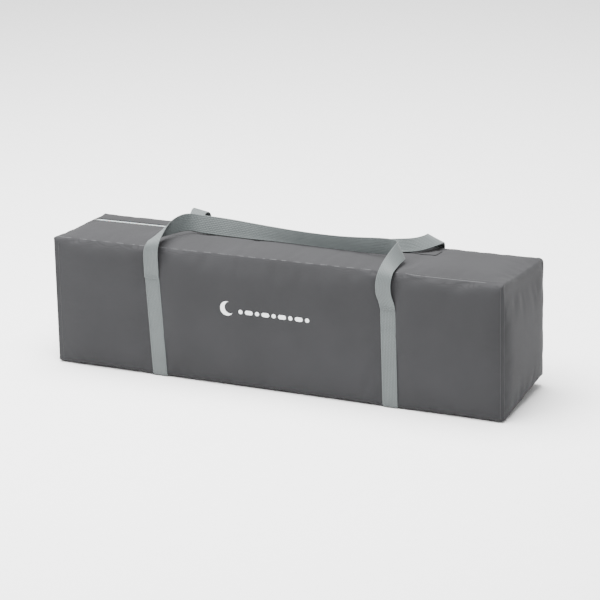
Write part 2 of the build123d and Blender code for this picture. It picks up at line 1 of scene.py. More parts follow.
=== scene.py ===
import bpy
import json
import math
from mathutils import Matrix, Vector
from mathutils.bvhtree import BVHTree
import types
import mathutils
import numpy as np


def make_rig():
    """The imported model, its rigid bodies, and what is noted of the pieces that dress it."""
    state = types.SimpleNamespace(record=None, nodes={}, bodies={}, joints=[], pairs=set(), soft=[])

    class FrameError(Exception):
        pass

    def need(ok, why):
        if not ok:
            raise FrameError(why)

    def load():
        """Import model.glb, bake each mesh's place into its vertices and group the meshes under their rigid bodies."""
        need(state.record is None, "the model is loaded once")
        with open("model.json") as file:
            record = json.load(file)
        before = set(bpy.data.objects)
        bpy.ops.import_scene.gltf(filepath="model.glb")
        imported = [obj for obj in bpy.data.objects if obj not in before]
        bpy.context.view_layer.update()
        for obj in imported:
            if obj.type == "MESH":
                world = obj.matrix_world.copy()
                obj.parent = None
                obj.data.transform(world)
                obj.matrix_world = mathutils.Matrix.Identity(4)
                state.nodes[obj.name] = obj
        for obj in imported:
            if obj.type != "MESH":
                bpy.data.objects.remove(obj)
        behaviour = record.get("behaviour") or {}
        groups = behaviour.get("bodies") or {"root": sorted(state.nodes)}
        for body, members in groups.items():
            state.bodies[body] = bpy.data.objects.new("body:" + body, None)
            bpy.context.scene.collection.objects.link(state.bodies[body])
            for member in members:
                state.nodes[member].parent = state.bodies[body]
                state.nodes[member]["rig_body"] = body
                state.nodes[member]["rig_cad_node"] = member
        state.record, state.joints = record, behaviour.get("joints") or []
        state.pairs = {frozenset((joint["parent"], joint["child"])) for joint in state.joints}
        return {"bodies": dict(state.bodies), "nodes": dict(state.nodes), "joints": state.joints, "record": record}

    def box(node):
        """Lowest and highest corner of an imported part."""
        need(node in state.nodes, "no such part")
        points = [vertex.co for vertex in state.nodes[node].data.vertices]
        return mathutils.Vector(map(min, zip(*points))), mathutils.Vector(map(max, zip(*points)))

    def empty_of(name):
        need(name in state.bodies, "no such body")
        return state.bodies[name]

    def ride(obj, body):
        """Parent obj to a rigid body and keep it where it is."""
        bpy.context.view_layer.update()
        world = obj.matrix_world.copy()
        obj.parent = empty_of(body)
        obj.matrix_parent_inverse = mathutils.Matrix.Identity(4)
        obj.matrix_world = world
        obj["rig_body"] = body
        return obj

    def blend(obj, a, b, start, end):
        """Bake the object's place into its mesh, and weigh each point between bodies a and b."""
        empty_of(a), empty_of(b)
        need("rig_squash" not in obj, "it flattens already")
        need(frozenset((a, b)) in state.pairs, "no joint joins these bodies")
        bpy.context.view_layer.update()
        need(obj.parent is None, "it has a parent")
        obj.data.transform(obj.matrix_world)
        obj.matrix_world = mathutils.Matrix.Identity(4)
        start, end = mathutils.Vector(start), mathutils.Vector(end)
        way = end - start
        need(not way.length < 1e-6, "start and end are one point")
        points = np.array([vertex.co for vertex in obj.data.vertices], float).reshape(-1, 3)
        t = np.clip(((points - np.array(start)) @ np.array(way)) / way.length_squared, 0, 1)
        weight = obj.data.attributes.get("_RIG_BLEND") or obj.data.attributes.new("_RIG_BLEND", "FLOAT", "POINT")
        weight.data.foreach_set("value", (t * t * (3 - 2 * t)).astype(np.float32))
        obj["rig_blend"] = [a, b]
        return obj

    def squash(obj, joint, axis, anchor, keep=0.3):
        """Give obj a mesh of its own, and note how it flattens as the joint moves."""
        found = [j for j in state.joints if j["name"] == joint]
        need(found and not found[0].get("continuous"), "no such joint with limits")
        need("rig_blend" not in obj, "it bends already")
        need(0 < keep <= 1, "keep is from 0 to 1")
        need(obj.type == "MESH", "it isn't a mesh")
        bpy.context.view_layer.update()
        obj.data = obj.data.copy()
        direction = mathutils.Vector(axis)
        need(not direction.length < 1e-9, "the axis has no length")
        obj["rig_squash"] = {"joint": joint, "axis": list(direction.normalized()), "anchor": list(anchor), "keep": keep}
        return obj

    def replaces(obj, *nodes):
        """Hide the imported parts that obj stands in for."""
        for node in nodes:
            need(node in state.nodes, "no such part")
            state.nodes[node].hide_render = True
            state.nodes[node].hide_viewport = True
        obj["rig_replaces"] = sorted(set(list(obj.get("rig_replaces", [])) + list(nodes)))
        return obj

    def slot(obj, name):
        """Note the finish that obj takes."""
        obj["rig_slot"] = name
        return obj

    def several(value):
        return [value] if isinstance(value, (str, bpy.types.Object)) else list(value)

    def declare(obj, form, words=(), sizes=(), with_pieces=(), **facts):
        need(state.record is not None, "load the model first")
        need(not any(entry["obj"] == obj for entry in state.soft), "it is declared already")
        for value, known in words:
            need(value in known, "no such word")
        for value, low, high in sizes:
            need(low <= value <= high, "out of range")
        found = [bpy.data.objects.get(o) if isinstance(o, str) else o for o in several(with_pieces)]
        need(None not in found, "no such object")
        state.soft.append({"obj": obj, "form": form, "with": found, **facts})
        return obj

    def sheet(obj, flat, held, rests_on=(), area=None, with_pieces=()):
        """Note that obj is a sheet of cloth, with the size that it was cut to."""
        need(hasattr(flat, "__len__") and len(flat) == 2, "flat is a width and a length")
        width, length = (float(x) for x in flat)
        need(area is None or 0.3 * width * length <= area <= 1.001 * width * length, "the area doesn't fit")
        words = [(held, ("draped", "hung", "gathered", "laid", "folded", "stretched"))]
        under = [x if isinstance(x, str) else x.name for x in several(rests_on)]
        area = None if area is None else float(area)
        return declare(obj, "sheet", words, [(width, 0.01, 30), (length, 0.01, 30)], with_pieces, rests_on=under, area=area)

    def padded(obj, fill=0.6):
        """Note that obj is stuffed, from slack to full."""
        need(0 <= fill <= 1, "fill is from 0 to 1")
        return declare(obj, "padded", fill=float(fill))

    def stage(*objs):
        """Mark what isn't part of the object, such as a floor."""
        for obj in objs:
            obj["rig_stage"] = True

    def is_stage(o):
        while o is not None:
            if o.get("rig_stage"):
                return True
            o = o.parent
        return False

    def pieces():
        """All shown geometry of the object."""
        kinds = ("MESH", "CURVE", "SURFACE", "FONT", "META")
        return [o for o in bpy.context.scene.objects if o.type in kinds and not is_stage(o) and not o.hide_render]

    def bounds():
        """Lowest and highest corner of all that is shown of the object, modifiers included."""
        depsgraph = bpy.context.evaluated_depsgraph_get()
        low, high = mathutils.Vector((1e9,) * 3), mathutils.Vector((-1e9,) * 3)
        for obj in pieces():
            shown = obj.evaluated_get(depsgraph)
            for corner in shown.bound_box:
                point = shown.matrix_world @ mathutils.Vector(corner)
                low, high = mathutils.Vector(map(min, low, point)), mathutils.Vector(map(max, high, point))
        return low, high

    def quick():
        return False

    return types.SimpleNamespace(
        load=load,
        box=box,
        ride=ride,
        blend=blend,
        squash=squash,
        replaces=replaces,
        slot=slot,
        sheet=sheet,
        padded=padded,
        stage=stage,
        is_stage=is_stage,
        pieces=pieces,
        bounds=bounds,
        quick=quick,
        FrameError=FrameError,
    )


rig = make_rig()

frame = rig.load()
cad_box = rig.bounds()

# ---------------------------------------------------------------- frame tubes
# Legs, top rails and base tubes are drawn steel tube, cut to length and powder coated in a
# mid grey. The coat is baked on, so it has a fine orange peel and a dull gloss.


def colour(code):
    """An sRGB hex colour as the linear values that a shader takes."""
    parts = [int(code[i:i + 2], 16) / 255 for i in (1, 3, 5)]
    linear = [c / 12.92 if c <= 0.04045 else ((c + 0.055) / 1.055) ** 2.4 for c in parts]
    return (*linear, 1.0)


def new_material(name, **values):
    """A material with these values on its shader, as (material, its node tree, the shader)."""
    made = bpy.data.materials.new(name)
    made.use_nodes = True
    shader = made.node_tree.nodes["Principled BSDF"]
    for socket, value in values.items():
        shader.inputs[socket.replace("_", " ")].default_value = value
    return made, made.node_tree, shader


def add_node(tree, kind, values=None, links=None, **settings):
    """Adds a node: settings are its properties, values its sockets, links what feeds them."""
    made = tree.nodes.new("ShaderNode" + kind)
    for name, value in settings.items():
        setattr(made, name, value)
    for socket, value in (values or {}).items():
        made.inputs[socket].default_value = value
    for socket, source in (links or {}).items():
        tree.links.new(source, made.inputs[socket])
    return made


def powder_coated_steel():
    """Orange peel about 1.5 mm across, with a slightly uneven tone."""
    made, tree, shader = new_material("powder_coated_steel", Roughness=0.42, Metallic=0.0)
    place = add_node(tree, "TexCoord").outputs["Object"]
    peel = add_node(tree, "TexNoise", {"Scale": 650.0, "Detail": 2.0}, {"Vector": place})
    tone = add_node(tree, "TexNoise", {"Scale": 18.0, "Detail": 3.0}, {"Vector": place})
    bump = add_node(tree, "Bump", {"Strength": 0.12, "Distance": 0.0002}, {"Height": peel.outputs[0]})
    tree.links.new(bump.outputs[0], shader.inputs["Normal"])
    tints = {6: colour("#8b8f91"), 7: colour("#9a9ea0")}
    paint = add_node(tree, "Mix", tints, {0: tone.outputs[0]}, data_type="RGBA")
    tree.links.new(paint.outputs[2], shader.inputs["Base Color"])
    return made


def finish_node(name, finish):
    """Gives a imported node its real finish."""
    slots = frame["nodes"][name].data.materials
    slots.clear()
    slots.append(finish)


coated_steel = powder_coated_steel()
SIDES = ("front", "back")
LEVELS = ("lower", "upper")
CORNERS = [f"{level}_{side}" for level in LEVELS for side in SIDES]
tube_nodes = [f"leg_{corner}" for corner in CORNERS]
tube_nodes += [f"long_rail_{side}" for side in SIDES]
tube_nodes += [f"short_rail_{level}" for level in LEVELS]
for name in tube_nodes + ["base_tubes"]:
    finish_node(name, coated_steel)

# ---------------------------------------------------------------- frame mouldings
# Corner brackets, middle latches, floor hub, feet and forks are injection moulded from
# glass-filled nylon in dark grey. The tool was spark eroded, so the skin is dull and grainy.


def glass_filled_nylon():
    """Dark plastic with a spark grain about 1 mm across."""
    made, tree, shader = new_material("glass_filled_nylon", Roughness=0.58, IOR=1.53)
    place = add_node(tree, "TexCoord").outputs["Object"]
    grain = add_node(tree, "TexNoise", {"Scale": 900.0, "Detail": 4.0}, {"Vector": place})
    flow = add_node(tree, "TexNoise", {"Scale": 30.0, "Detail": 2.0}, {"Vector": place})
    bump = add_node(tree, "Bump", {"Strength": 0.25, "Distance": 0.0002}, {"Height": grain.outputs[0]})
    tree.links.new(bump.outputs[0], shader.inputs["Normal"])
    tints = {6: colour("#3a3b3d"), 7: colour("#454648")}
    tint = add_node(tree, "Mix", tints, {0: flow.outputs[0]}, data_type="RGBA")
    tree.links.new(tint.outputs[2], shader.inputs["Base Color"])
    return made


nylon = glass_filled_nylon()
moulded_nodes = [f"corner_bracket_{corner}" for corner in CORNERS]
moulded_nodes += [f"rail_latch_{place}" for place in SIDES + LEVELS]
moulded_nodes += [f"{part}_{level}" for part in ("foot", "wheel_fork") for level in LEVELS]
for name in moulded_nodes + ["floor_hub"]:
    finish_node(name, nylon)

# ---------------------------------------------------------------- latch buttons
# Four press buttons of polished ABS, one in the end of each middle latch. They are a lighter
# grey than the latch, so that a hand finds them.


def polished_abs():
    """Smooth light plastic with faint handling scratches in its gloss."""
    made, tree, shader = new_material("polished_abs", Roughness=0.28, IOR=1.54)
    place = add_node(tree, "TexCoord").outputs["Object"]
    rub = add_node(tree, "TexNoise", {"Scale": 220.0, "Detail": 6.0, "Distortion": 2.0}, {"Vector": place})
    gloss = add_node(tree, "MapRange", {"To Min": 0.24, "To Max": 0.40}, {"Value": rub.outputs[0]})
    tree.links.new(gloss.outputs[0], shader.inputs["Roughness"])
    tints = {6: colour("#b4b8ba"), 7: colour("#bcc0c2")}
    tint = add_node(tree, "Mix", tints, {0: rub.outputs[0]}, data_type="RGBA")
    tree.links.new(tint.outputs[2], shader.inputs["Base Color"])
    return made


button_plastic = polished_abs()
for place in SIDES + LEVELS:
    finish_node(f"latch_button_{place}", button_plastic)

# ---------------------------------------------------------------- rivets and axles
# Rail rivets and wheel axles are turned from mild steel and zinc plated, which leaves a
# slightly blotched, half-bright metal.


def zinc_plated_steel():
    """Plated metal with soft blotches about 4 mm across."""
    made, tree, shader = new_material("zinc_plated_steel", Metallic=1.0, Roughness=0.34)
    place = add_node(tree, "TexCoord").outputs["Object"]
    blotch = add_node(tree, "TexNoise", {"Scale": 260.0, "Detail": 3.0}, {"Vector": place})
    gloss = add_node(tree, "MapRange", {"To Min": 0.28, "To Max": 0.46}, {"Value": blotch.outputs[0]})
    tree.links.new(gloss.outputs[0], shader.inputs["Roughness"])
    tints = {6: colour("#b9bab6"), 7: colour("#cfd0cd")}
    tint = add_node(tree, "Mix", tints, {0: blotch.outputs[0]}, data_type="RGBA")
    tree.links.new(tint.outputs[2], shader.inputs["Base Color"])
    return made


plated_steel = zinc_plated_steel()
for name in ("corner_rivets", "wheel_axles"):
    finish_node(name, plated_steel)

# ---------------------------------------------------------------- wheels
# Two wheels of black PVC, moulded round and left a little glossy, with dust in the tread.


def moulded_pvc():
    """Black vinyl with a dusty bloom in patches."""
    made, tree, shader = new_material("moulded_pvc", Roughness=0.45, IOR=1.53)
    place = add_node(tree, "TexCoord").outputs["Object"]
    dust = add_node(tree, "TexNoise", {"Scale": 90.0, "Detail": 5.0}, {"Vector": place})
    gloss = add_node(tree, "MapRange", {"To Min": 0.36, "To Max": 0.62}, {"Value": dust.outputs[0]})
    tree.links.new(gloss.outputs[0], shader.inputs["Roughness"])
    tints = {6: colour("#2e2f30"), 7: colour("#3c3c3c")}
    tint = add_node(tree, "Mix", tints, {0: dust.outputs[0]}, data_type="RGBA")
    tree.links.new(tint.outputs[2], shader.inputs["Base Color"])
    return made


wheel_pvc = moulded_pvc()
for level in LEVELS:
    finish_node(f"wheel_{level}", wheel_pvc)

# ---------------------------------------------------------------- mattress boards
# Four boards with foam on them, each sewn into a brushed polyester cover that swells a little
# between its edge seams. They fold round the frame as a roll.


def select_only(piece):
    """Makes one object the selected and active one."""
    if bpy.context.mode != "OBJECT":
        bpy.ops.object.mode_set(mode="OBJECT")
    bpy.ops.object.select_all(action="DESELECT")
    piece.select_set(True)
    bpy.context.view_layer.objects.active = piece


def add_block(name, low, high):
    """A cube primitive stretched between two corners, with its place in its mesh."""
    bpy.ops.object.select_all(action="DESELECT")
    size = [b - a for a, b in zip(low, high)]
    middle = [(a + b) / 2 for a, b in zip(low, high)]
    bpy.ops.mesh.primitive_cube_add(size=1, location=middle, scale=size)
    block = bpy.context.object
    block.name = name
    bpy.ops.object.transform_apply(location=True, rotation=True, scale=True)
    return block


def cut(point, normal, remove=False):
    """Cuts the mesh in edit mode along a plane, and with remove closes the cut off side."""
    bpy.ops.mesh.select_all(action="SELECT")
    bpy.ops.mesh.bisect(plane_co=point, plane_no=normal, use_fill=remove, clear_outer=remove)


def steps_between(low, high, step):
    """Even cuts between two edges, about a step apart."""
    count = max(2, round((high - low) / step))
    return [low + (high - low) * i / count for i in range(1, count)]


def finish_modifiers(piece):
    """Applies every modifier of a piece, in order."""
    select_only(piece)
    for modifier in list(piece.modifiers):
        bpy.ops.object.modifier_apply(modifier=modifier.name)


def inflate(piece, held, pressure, slack, furthest, stiffness=15.0, bending=0.5):
    """Swells a cloth skin by simulation while the held points stay, and caps how far it moves."""
    group = piece.vertex_groups.new(name="held")
    group.add(held, 1.0, "REPLACE")
    start = [v.co.copy() for v in piece.data.vertices]
    cloth = piece.modifiers.new("Cloth", "CLOTH")
    cloth.settings.quality = 6
    cloth.settings.mass = 0.1
    cloth.settings.tension_stiffness = stiffness
    cloth.settings.compression_stiffness = stiffness
    cloth.settings.shear_stiffness = stiffness / 3
    cloth.settings.bending_stiffness = bending
    cloth.settings.use_pressure = True
    cloth.settings.uniform_pressure_force = pressure
    cloth.settings.shrink_min = -slack
    cloth.settings.vertex_group_mass = "held"
    cloth.settings.effector_weights.gravity = 0
    cloth.collision_settings.use_collision = False
    for number in range(1, 21):
        bpy.context.scene.frame_set(number)
    finish_modifiers(piece)
    bpy.context.scene.frame_set(1)
    for vertex, was in zip(piece.data.vertices, start):
        move = vertex.co - was
        if move.length > 0:
            softened = furthest * math.tanh(move.length / furthest)
            vertex.co = was + move * (softened / move.length)
    piece.vertex_groups.clear()


def brushed_polyester():
    """Soft grey cover with a nap of short fibres and a slight sheen."""
    made, tree, shader = new_material("brushed_polyester", Roughness=0.9, Sheen_Weight=0.35)
    place = add_node(tree, "TexCoord").outputs["Object"]
    nap = add_node(tree, "TexNoise", {"Scale": 700.0, "Detail": 6.0, "Distortion": 0.6}, {"Vector": place})
    pool = add_node(tree, "TexNoise", {"Scale": 22.0, "Detail": 3.0}, {"Vector": place})
    bump = add_node(tree, "Bump", {"Strength": 0.4, "Distance": 0.0004}, {"Height": nap.outputs[0]})
    tree.links.new(bump.outputs[0], shader.inputs["Normal"])
    tints = {6: colour("#8d9093"), 7: colour("#9b9ea1")}
    dye = add_node(tree, "Mix", tints, {0: pool.outputs[0]}, data_type="RGBA")
    tree.links.new(dye.outputs[2], shader.inputs["Base Color"])
    return made


cover_cloth = brushed_polyester()
BOARD_SWELL = 0.0015
for place in ("bottom", "top", "front", "back"):
    node = f"mattress_{place}_board"
    low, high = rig.box(node)
    inset = Vector((BOARD_SWELL, BOARD_SWELL, BOARD_SWELL))
    board = add_block(f"padded_{place}_board", low + inset, high - inset)
    bpy.ops.object.mode_set(mode="EDIT")
    bpy.ops.mesh.bevel(offset=0.004, segments=2, affect="EDGES")
    for axis, step in enumerate((0.016, 0.012, 0.012)):
        normal = [float(axis == i) for i in range(3)]
        if high[axis] - low[axis] > 0.03:
            for at in steps_between(low[axis] + 0.006, high[axis] - 0.006, step):
                cut([at if axis == i else 0 for i in range(3)], normal)
    bpy.ops.object.mode_set(mode="OBJECT")
    thin = min(range(3), key=lambda i: high[i] - low[i])
    middle = (low[thin] + high[thin]) / 2
    rim = [v.index for v in board.data.vertices if abs(v.co[thin] - middle) < 0.0045]
    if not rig.quick():
        inflate(board, rim, 4.0, 0.004, BOARD_SWELL)
    board.modifiers.new("Smooth", "SUBSURF").levels = 1
    finish_modifiers(board)
    bpy.ops.object.shade_smooth()
    board.data.materials.append(cover_cloth)
    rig.ride(board, "packed_bag")
    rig.replaces(board, node)
    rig.slot(board, "mattress_cover")
    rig.padded(board, fill=0.9)

# ---------------------------------------------------------------- mattress hinges and wraps
# Cloth hinges of the same cover cloth join the boards, and two hook-and-loop straps go round
# the roll. The straps are napped black loop tape.


def loop_tape():
    """Black tape with a dense pile of tiny loops, drawn about 1.5 mm across."""
    made, tree, shader = new_material("loop_tape", Roughness=0.95, Sheen_Weight=0.5)
    place = add_node(tree, "TexCoord").outputs["Object"]
    loops = add_node(tree, "TexVoronoi", {"Scale": 650.0}, {"Vector": place})
    bump = add_node(tree, "Bump", {"Strength": 0.6, "Distance": 0.0005}, {"Height": loops.outputs[0]})
    tree.links.new(bump.outputs[0], shader.inputs["Normal"])
    tints = {6: colour("#3c3d3f"), 7: colour("#232426")}
    pile = add_node(tree, "Mix", tints, {0: loops.outputs[0]}, data_type="RGBA")
    tree.links.new(pile.outputs[2], shader.inputs["Base Color"])
    return made


finish_node("mattress_hinges", cover_cloth)
wrap_tape = loop_tape()
for side in ("left", "right"):
    finish_node(f"wrap_strap_{side}", wrap_tape)

# ---------------------------------------------------------------- gathered walls
# The playpen's walls are warp-knitted polyester mesh with a cloth border. Folded, they hang
# between the base tubes in close upright pleats.


def knitted_mesh():
    """Grey net with cells about 3 mm across."""
    made, tree, shader = new_material("knitted_mesh", Roughness=0.8, Sheen_Weight=0.3)
    place = add_node(tree, "TexCoord").outputs["Object"]
    cells = add_node(tree, "TexVoronoi", {"Scale": 330.0}, {"Vector": place}, feature="DISTANCE_TO_EDGE")
    bump = add_node(tree, "Bump", {"Strength": 0.7, "Distance": 0.0006}, {"Height": cells.outputs[0]})
    tree.links.new(bump.outputs[0], shader.inputs["Normal"])
    tints = {6: colour("#84888a"), 7: colour("#55585a")}
    yarn = add_node(tree, "Mix", tints, {0: cells.outputs[0]}, data_type="RGBA")
    tree.links.new(yarn.outputs[2], shader.inputs["Base Color"])
    return made


wall_low, wall_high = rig.box("wall_fabric")
PLEAT_DEPTH, PLEAT_WIDTH = 0.0018, 0.010
walls = add_block("gathered_walls", wall_low, wall_high)
bpy.ops.object.mode_set(mode="EDIT")
bpy.ops.mesh.bevel(offset=0.004, segments=2, affect="EDGES")
for at in steps_between(wall_low.z + 0.004, wall_high.z - 0.004, PLEAT_WIDTH / 4):
    cut((0, 0, at), (0, 0, 1))
for at in steps_between(wall_low.x + 0.004, wall_high.x - 0.004, 0.02):
    cut((at, 0, 0), (1, 0, 0))
bpy.ops.object.mode_set(mode="OBJECT")
for vertex in walls.data.vertices:
    height = (vertex.co.z - wall_low.z) / PLEAT_WIDTH + 0.15 * math.sin(vertex.co.x * 60)
    inward = PLEAT_DEPTH * (1 + math.cos(2 * math.pi * height)) / 2
    vertex.co.y -= math.copysign(inward, vertex.co.y)
walls.modifiers.new("Smooth", "SUBSURF").levels = 1
finish_modifiers(walls)
bpy.ops.object.shade_smooth()
walls.data.materials.append(knitted_mesh())
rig.ride(walls, "packed_bag")
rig.replaces(walls, "wall_fabric")
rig.slot(walls, "wall_mesh")
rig.padded(walls, fill=0.3)

# ---------------------------------------------------------------- bag skin
# The carry bag is cut from padded polyester oxford cloth, 2 mm thick with its foam, in seven
# panels: front, back, bottom, left end, a strip that runs on over the right end, and the two
# halves of the top beside the zip. It is shaped as one skin, filled, and then parted.
left_x, front_y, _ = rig.box("front_panel")[0]
right_x, _, top_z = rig.box("front_panel")[1]
back_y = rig.box("back_panel")[1].y
cross_seam_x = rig.box("top_front_gusset")[1].x
slot_front, slot_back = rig.box("top_front_gusset")[1].y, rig.box("top_back_gusset")[0].y
web_thick = front_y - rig.box("strap_left")[0].y
TOP_FALL_LEFT, TOP_FALL_BACK = 0.0105, 0.011
TUCK_RISE, TUCK_RUN = 0.022, 0.020
CLOTH = 0.002
CELL = 0.008
under_z = web_thick + 0.0001
EDGE_CUTS = (0.0025, 0.006, 0.0105)


def top_at(x, y):
    """Height of the bag's flat top above a point of the floor."""
    to_left = (right_x - x) / (right_x - left_x)
    to_back = (y - front_y) / (back_y - front_y)
    return top_z - TOP_FALL_LEFT * to_left - TOP_FALL_BACK * to_back


top_slope = Vector((-TOP_FALL_LEFT / (right_x - left_x), TOP_FALL_BACK / (back_y - front_y), 0))
top_normal = (top_slope + Vector((0, 0, 1))).normalized()
top_corner = Vector((right_x, front_y, top_z))
tuck_corner = Vector((right_x, front_y, under_z))
tuck_high = Vector((right_x, back_y, TUCK_RISE))
tuck_low = Vector((right_x - TUCK_RUN, back_y, under_z))
tuck_normal = (tuck_low - tuck_corner).cross(tuck_high - tuck_corner).normalized()

bag = add_block("bag_skin", (left_x, front_y, under_z), (right_x, back_y, top_z + 0.01))
bpy.ops.object.mode_set(mode="EDIT")
cut(top_corner, top_normal, remove=True)
cut(tuck_corner, tuck_normal, remove=True)
for low, high, axis in ((left_x, right_x, (1, 0, 0)), (front_y, back_y, (0, 1, 0))):
    first, last = low + EDGE_CUTS[-1], high - EDGE_CUTS[-1]
    near_edges = [low + e for e in EDGE_CUTS] + [high - e for e in EDGE_CUTS]
    for at in near_edges + steps_between(first, last, CELL):
        cut(Vector(axis) * at, axis)
cut((cross_seam_x, 0, 0), (1, 0, 0))
for at in (slot_front, slot_back):
    cut((0, at, 0), (0, 1, 0))
for e in EDGE_CUTS:
    cut((0, 0, under_z + e), (0, 0, 1))
    cut(top_corner - Vector((0, 0, e)), top_normal)
lowest, highest = under_z + EDGE_CUTS[-1], top_z - EDGE_CUTS[-1]
for at in steps_between(lowest, highest, CELL):
    share = (at - lowest) / (highest - lowest)
    cut((right_x, front_y, at), (top_slope * share + Vector((0, 0, 1))).normalized())
bpy.ops.mesh.select_all(action="SELECT")
bpy.ops.mesh.remove_doubles(threshold=0.0003)
bpy.ops.mesh.normals_make_consistent(inside=False)
bpy.ops.object.mode_set(mode="OBJECT")

# Which panel each face belongs to. The front panel turns over the top by one seam inset, and
# the left end turns on to the front and the back by as much.
SEAM_INSET = EDGE_CUTS[1]
PANELS = (
    "front_panel", "back_panel", "bottom_gusset", "left_end_gusset",
    "right_gusset", "top_front_gusset", "top_back_gusset", "zip_slot",
)


def panel_of(face):
    """The panel that a face of the plain block belongs to."""
    x, y, z = face.center
    facing = face.normal
    if facing.dot(tuck_normal) > 0.999:
        return "right_gusset"
    if x < left_x + SEAM_INSET and facing.z > -0.9:
        return "left_end_gusset"
    if facing.y < -0.9 or (facing.z > 0.9 and y < front_y + SEAM_INSET):
        return "front_panel"
    if facing.y > 0.9 or (facing.z > 0.9 and y > back_y - SEAM_INSET):
        return "back_panel"
    if facing.z < -0.9:
        return "bottom_gusset"
    if facing.x > 0.9 or x > cross_seam_x:
        return "right_gusset"
    if slot_front < y < slot_back:
        return "zip_slot"
    return "top_front_gusset" if y < slot_front else "top_back_gusset"


panels_at = [set() for _ in bag.data.vertices]
for face in bag.data.polygons:
    face.material_index = PANELS.index(panel_of(face))
    for index in face.vertices:
        panels_at[index].add(face.material_index)
for name in PANELS:
    bag.data.materials.append(bpy.data.materials.new("cut_" + name))

# Soft edges: how far each fold is rounded, in metres. The fold over the right end is nearly
# sharp at the front seam and round at the back.
INWARD = {
    "front": (Vector((0, front_y, 0)), Vector((0, 1, 0))),
    "back": (Vector((0, back_y, 0)), Vector((0, -1, 0))),
    "left": (Vector((left_x, 0, 0)), Vector((1, 0, 0))),
    "right": (Vector((right_x, 0, 0)), Vector((-1, 0, 0))),
    "top": (top_corner, -top_normal),
    "under": (Vector((0, 0, under_z)), Vector((0, 0, 1))),
}
FOLDS = (
    ("front", "top", 0.0105), ("back", "top", 0.0105), ("left", "top", 0.005),
    ("front", "left", 0.006), ("back", "left", 0.009), ("front", "right", 0.003),
    ("back", "right", 0.008), ("front", "under", 0.002), ("back", "under", 0.003),
    ("left", "under", 0.003),
)


def depth_in(point, face):
    """How far a point is inside one face of the block."""
    origin, inward = INWARD[face]
    return (point - origin).dot(inward)


def round_fold(point, first, second, radius):
    """Moves a point near the edge of two faces on to an arc between them."""
    u, v = (radius - depth_in(point, face) for face in (first, second))
    if u <= 0 or v <= 0:
        return point
    pull = 1 - radius / math.hypot(u, v)
    return point + INWARD[first][1] * u * pull + INWARD[second][1] * v * pull


STRAP_LINES = ((-0.196, -0.2045, 0.167), (0.1965, 0.1945, 0.164))
web_width = 0.025
seam_groove = 0.0014
STIFF_CORNER = 0.0108      # cloth this near the upright front left fold keeps its place
STIFF_TOP_FOLD = 0.03      # and so does the right end this far below its top fold
held = []
for vertex, panels in zip(bag.data.vertices, panels_at):
    plain = vertex.co.copy()
    for first, second, radius in FOLDS:
        vertex.co = round_fold(vertex.co, first, second, radius)
    end_radius = 0.003 + 0.011 * min(1, (plain.y - front_y) / 0.06) ** 2
    vertex.co = round_fold(vertex.co, "right", "top", end_radius)
    on_slot = PANELS.index("zip_slot") in panels
    under_web = False
    for foot_x, head_x, head_z in STRAP_LINES:
        middle_x = foot_x + (head_x - foot_x) * plain.z / head_z
        on_side = min(abs(plain.y - front_y), abs(plain.y - back_y), abs(plain.z - under_z)) < 1e-5
        if on_side and plain.z < head_z + 0.012 and abs(plain.x - middle_x) < web_width / 2 + 0.001:
            under_web = True
    in_cross_seam = abs(plain.x - cross_seam_x) < 1e-4
    near_corner = plain.x < left_x + STIFF_CORNER and plain.y < front_y + STIFF_CORNER
    at_right_end = plain.x > right_x - 1e-5
    near_top_fold = at_right_end and top_at(plain.x, plain.y) - plain.z < STIFF_TOP_FOLD
    on_tuck_edge = at_right_end and abs((plain - tuck_corner).dot(tuck_normal)) < 1e-5
    stiff_fold = near_corner or near_top_fold or on_tuck_edge
    over_front = plain.x < cross_seam_x and plain.z > 0.19 and plain.y < front_y + 0.01
    flat_seam = in_cross_seam or over_front
    if on_slot or under_web or stiff_fold or (len(panels) > 1 and not in_cross_seam):
        held.append(vertex.index)
    if len(panels) > 1 and not on_slot and not under_web and not flat_seam:
        middle = Vector((max(min(plain.x, right_x - 0.09), left_x + 0.09), 0, top_z / 2))
        vertex.co += (middle - vertex.co).normalized() * seam_groove

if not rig.quick():
    inflate(bag, held, pressure=4.0, slack=0.008, furthest=0.006)
for vertex in bag.data.vertices:
    vertex.co.z = max(vertex.co.z, 0.0001)
bag.modifiers.new("Smooth", "SUBSURF").levels = 1
finish_modifiers(bag)
skin = BVHTree.FromObject(bag, bpy.context.evaluated_depsgraph_get())

# ---------------------------------------------------------------- bag panels
# Each panel is parted from the skin along its seams and given the cloth's thickness inwards.
# The oxford cloth is a plain weave of textured yarn with a dull coat on its back.


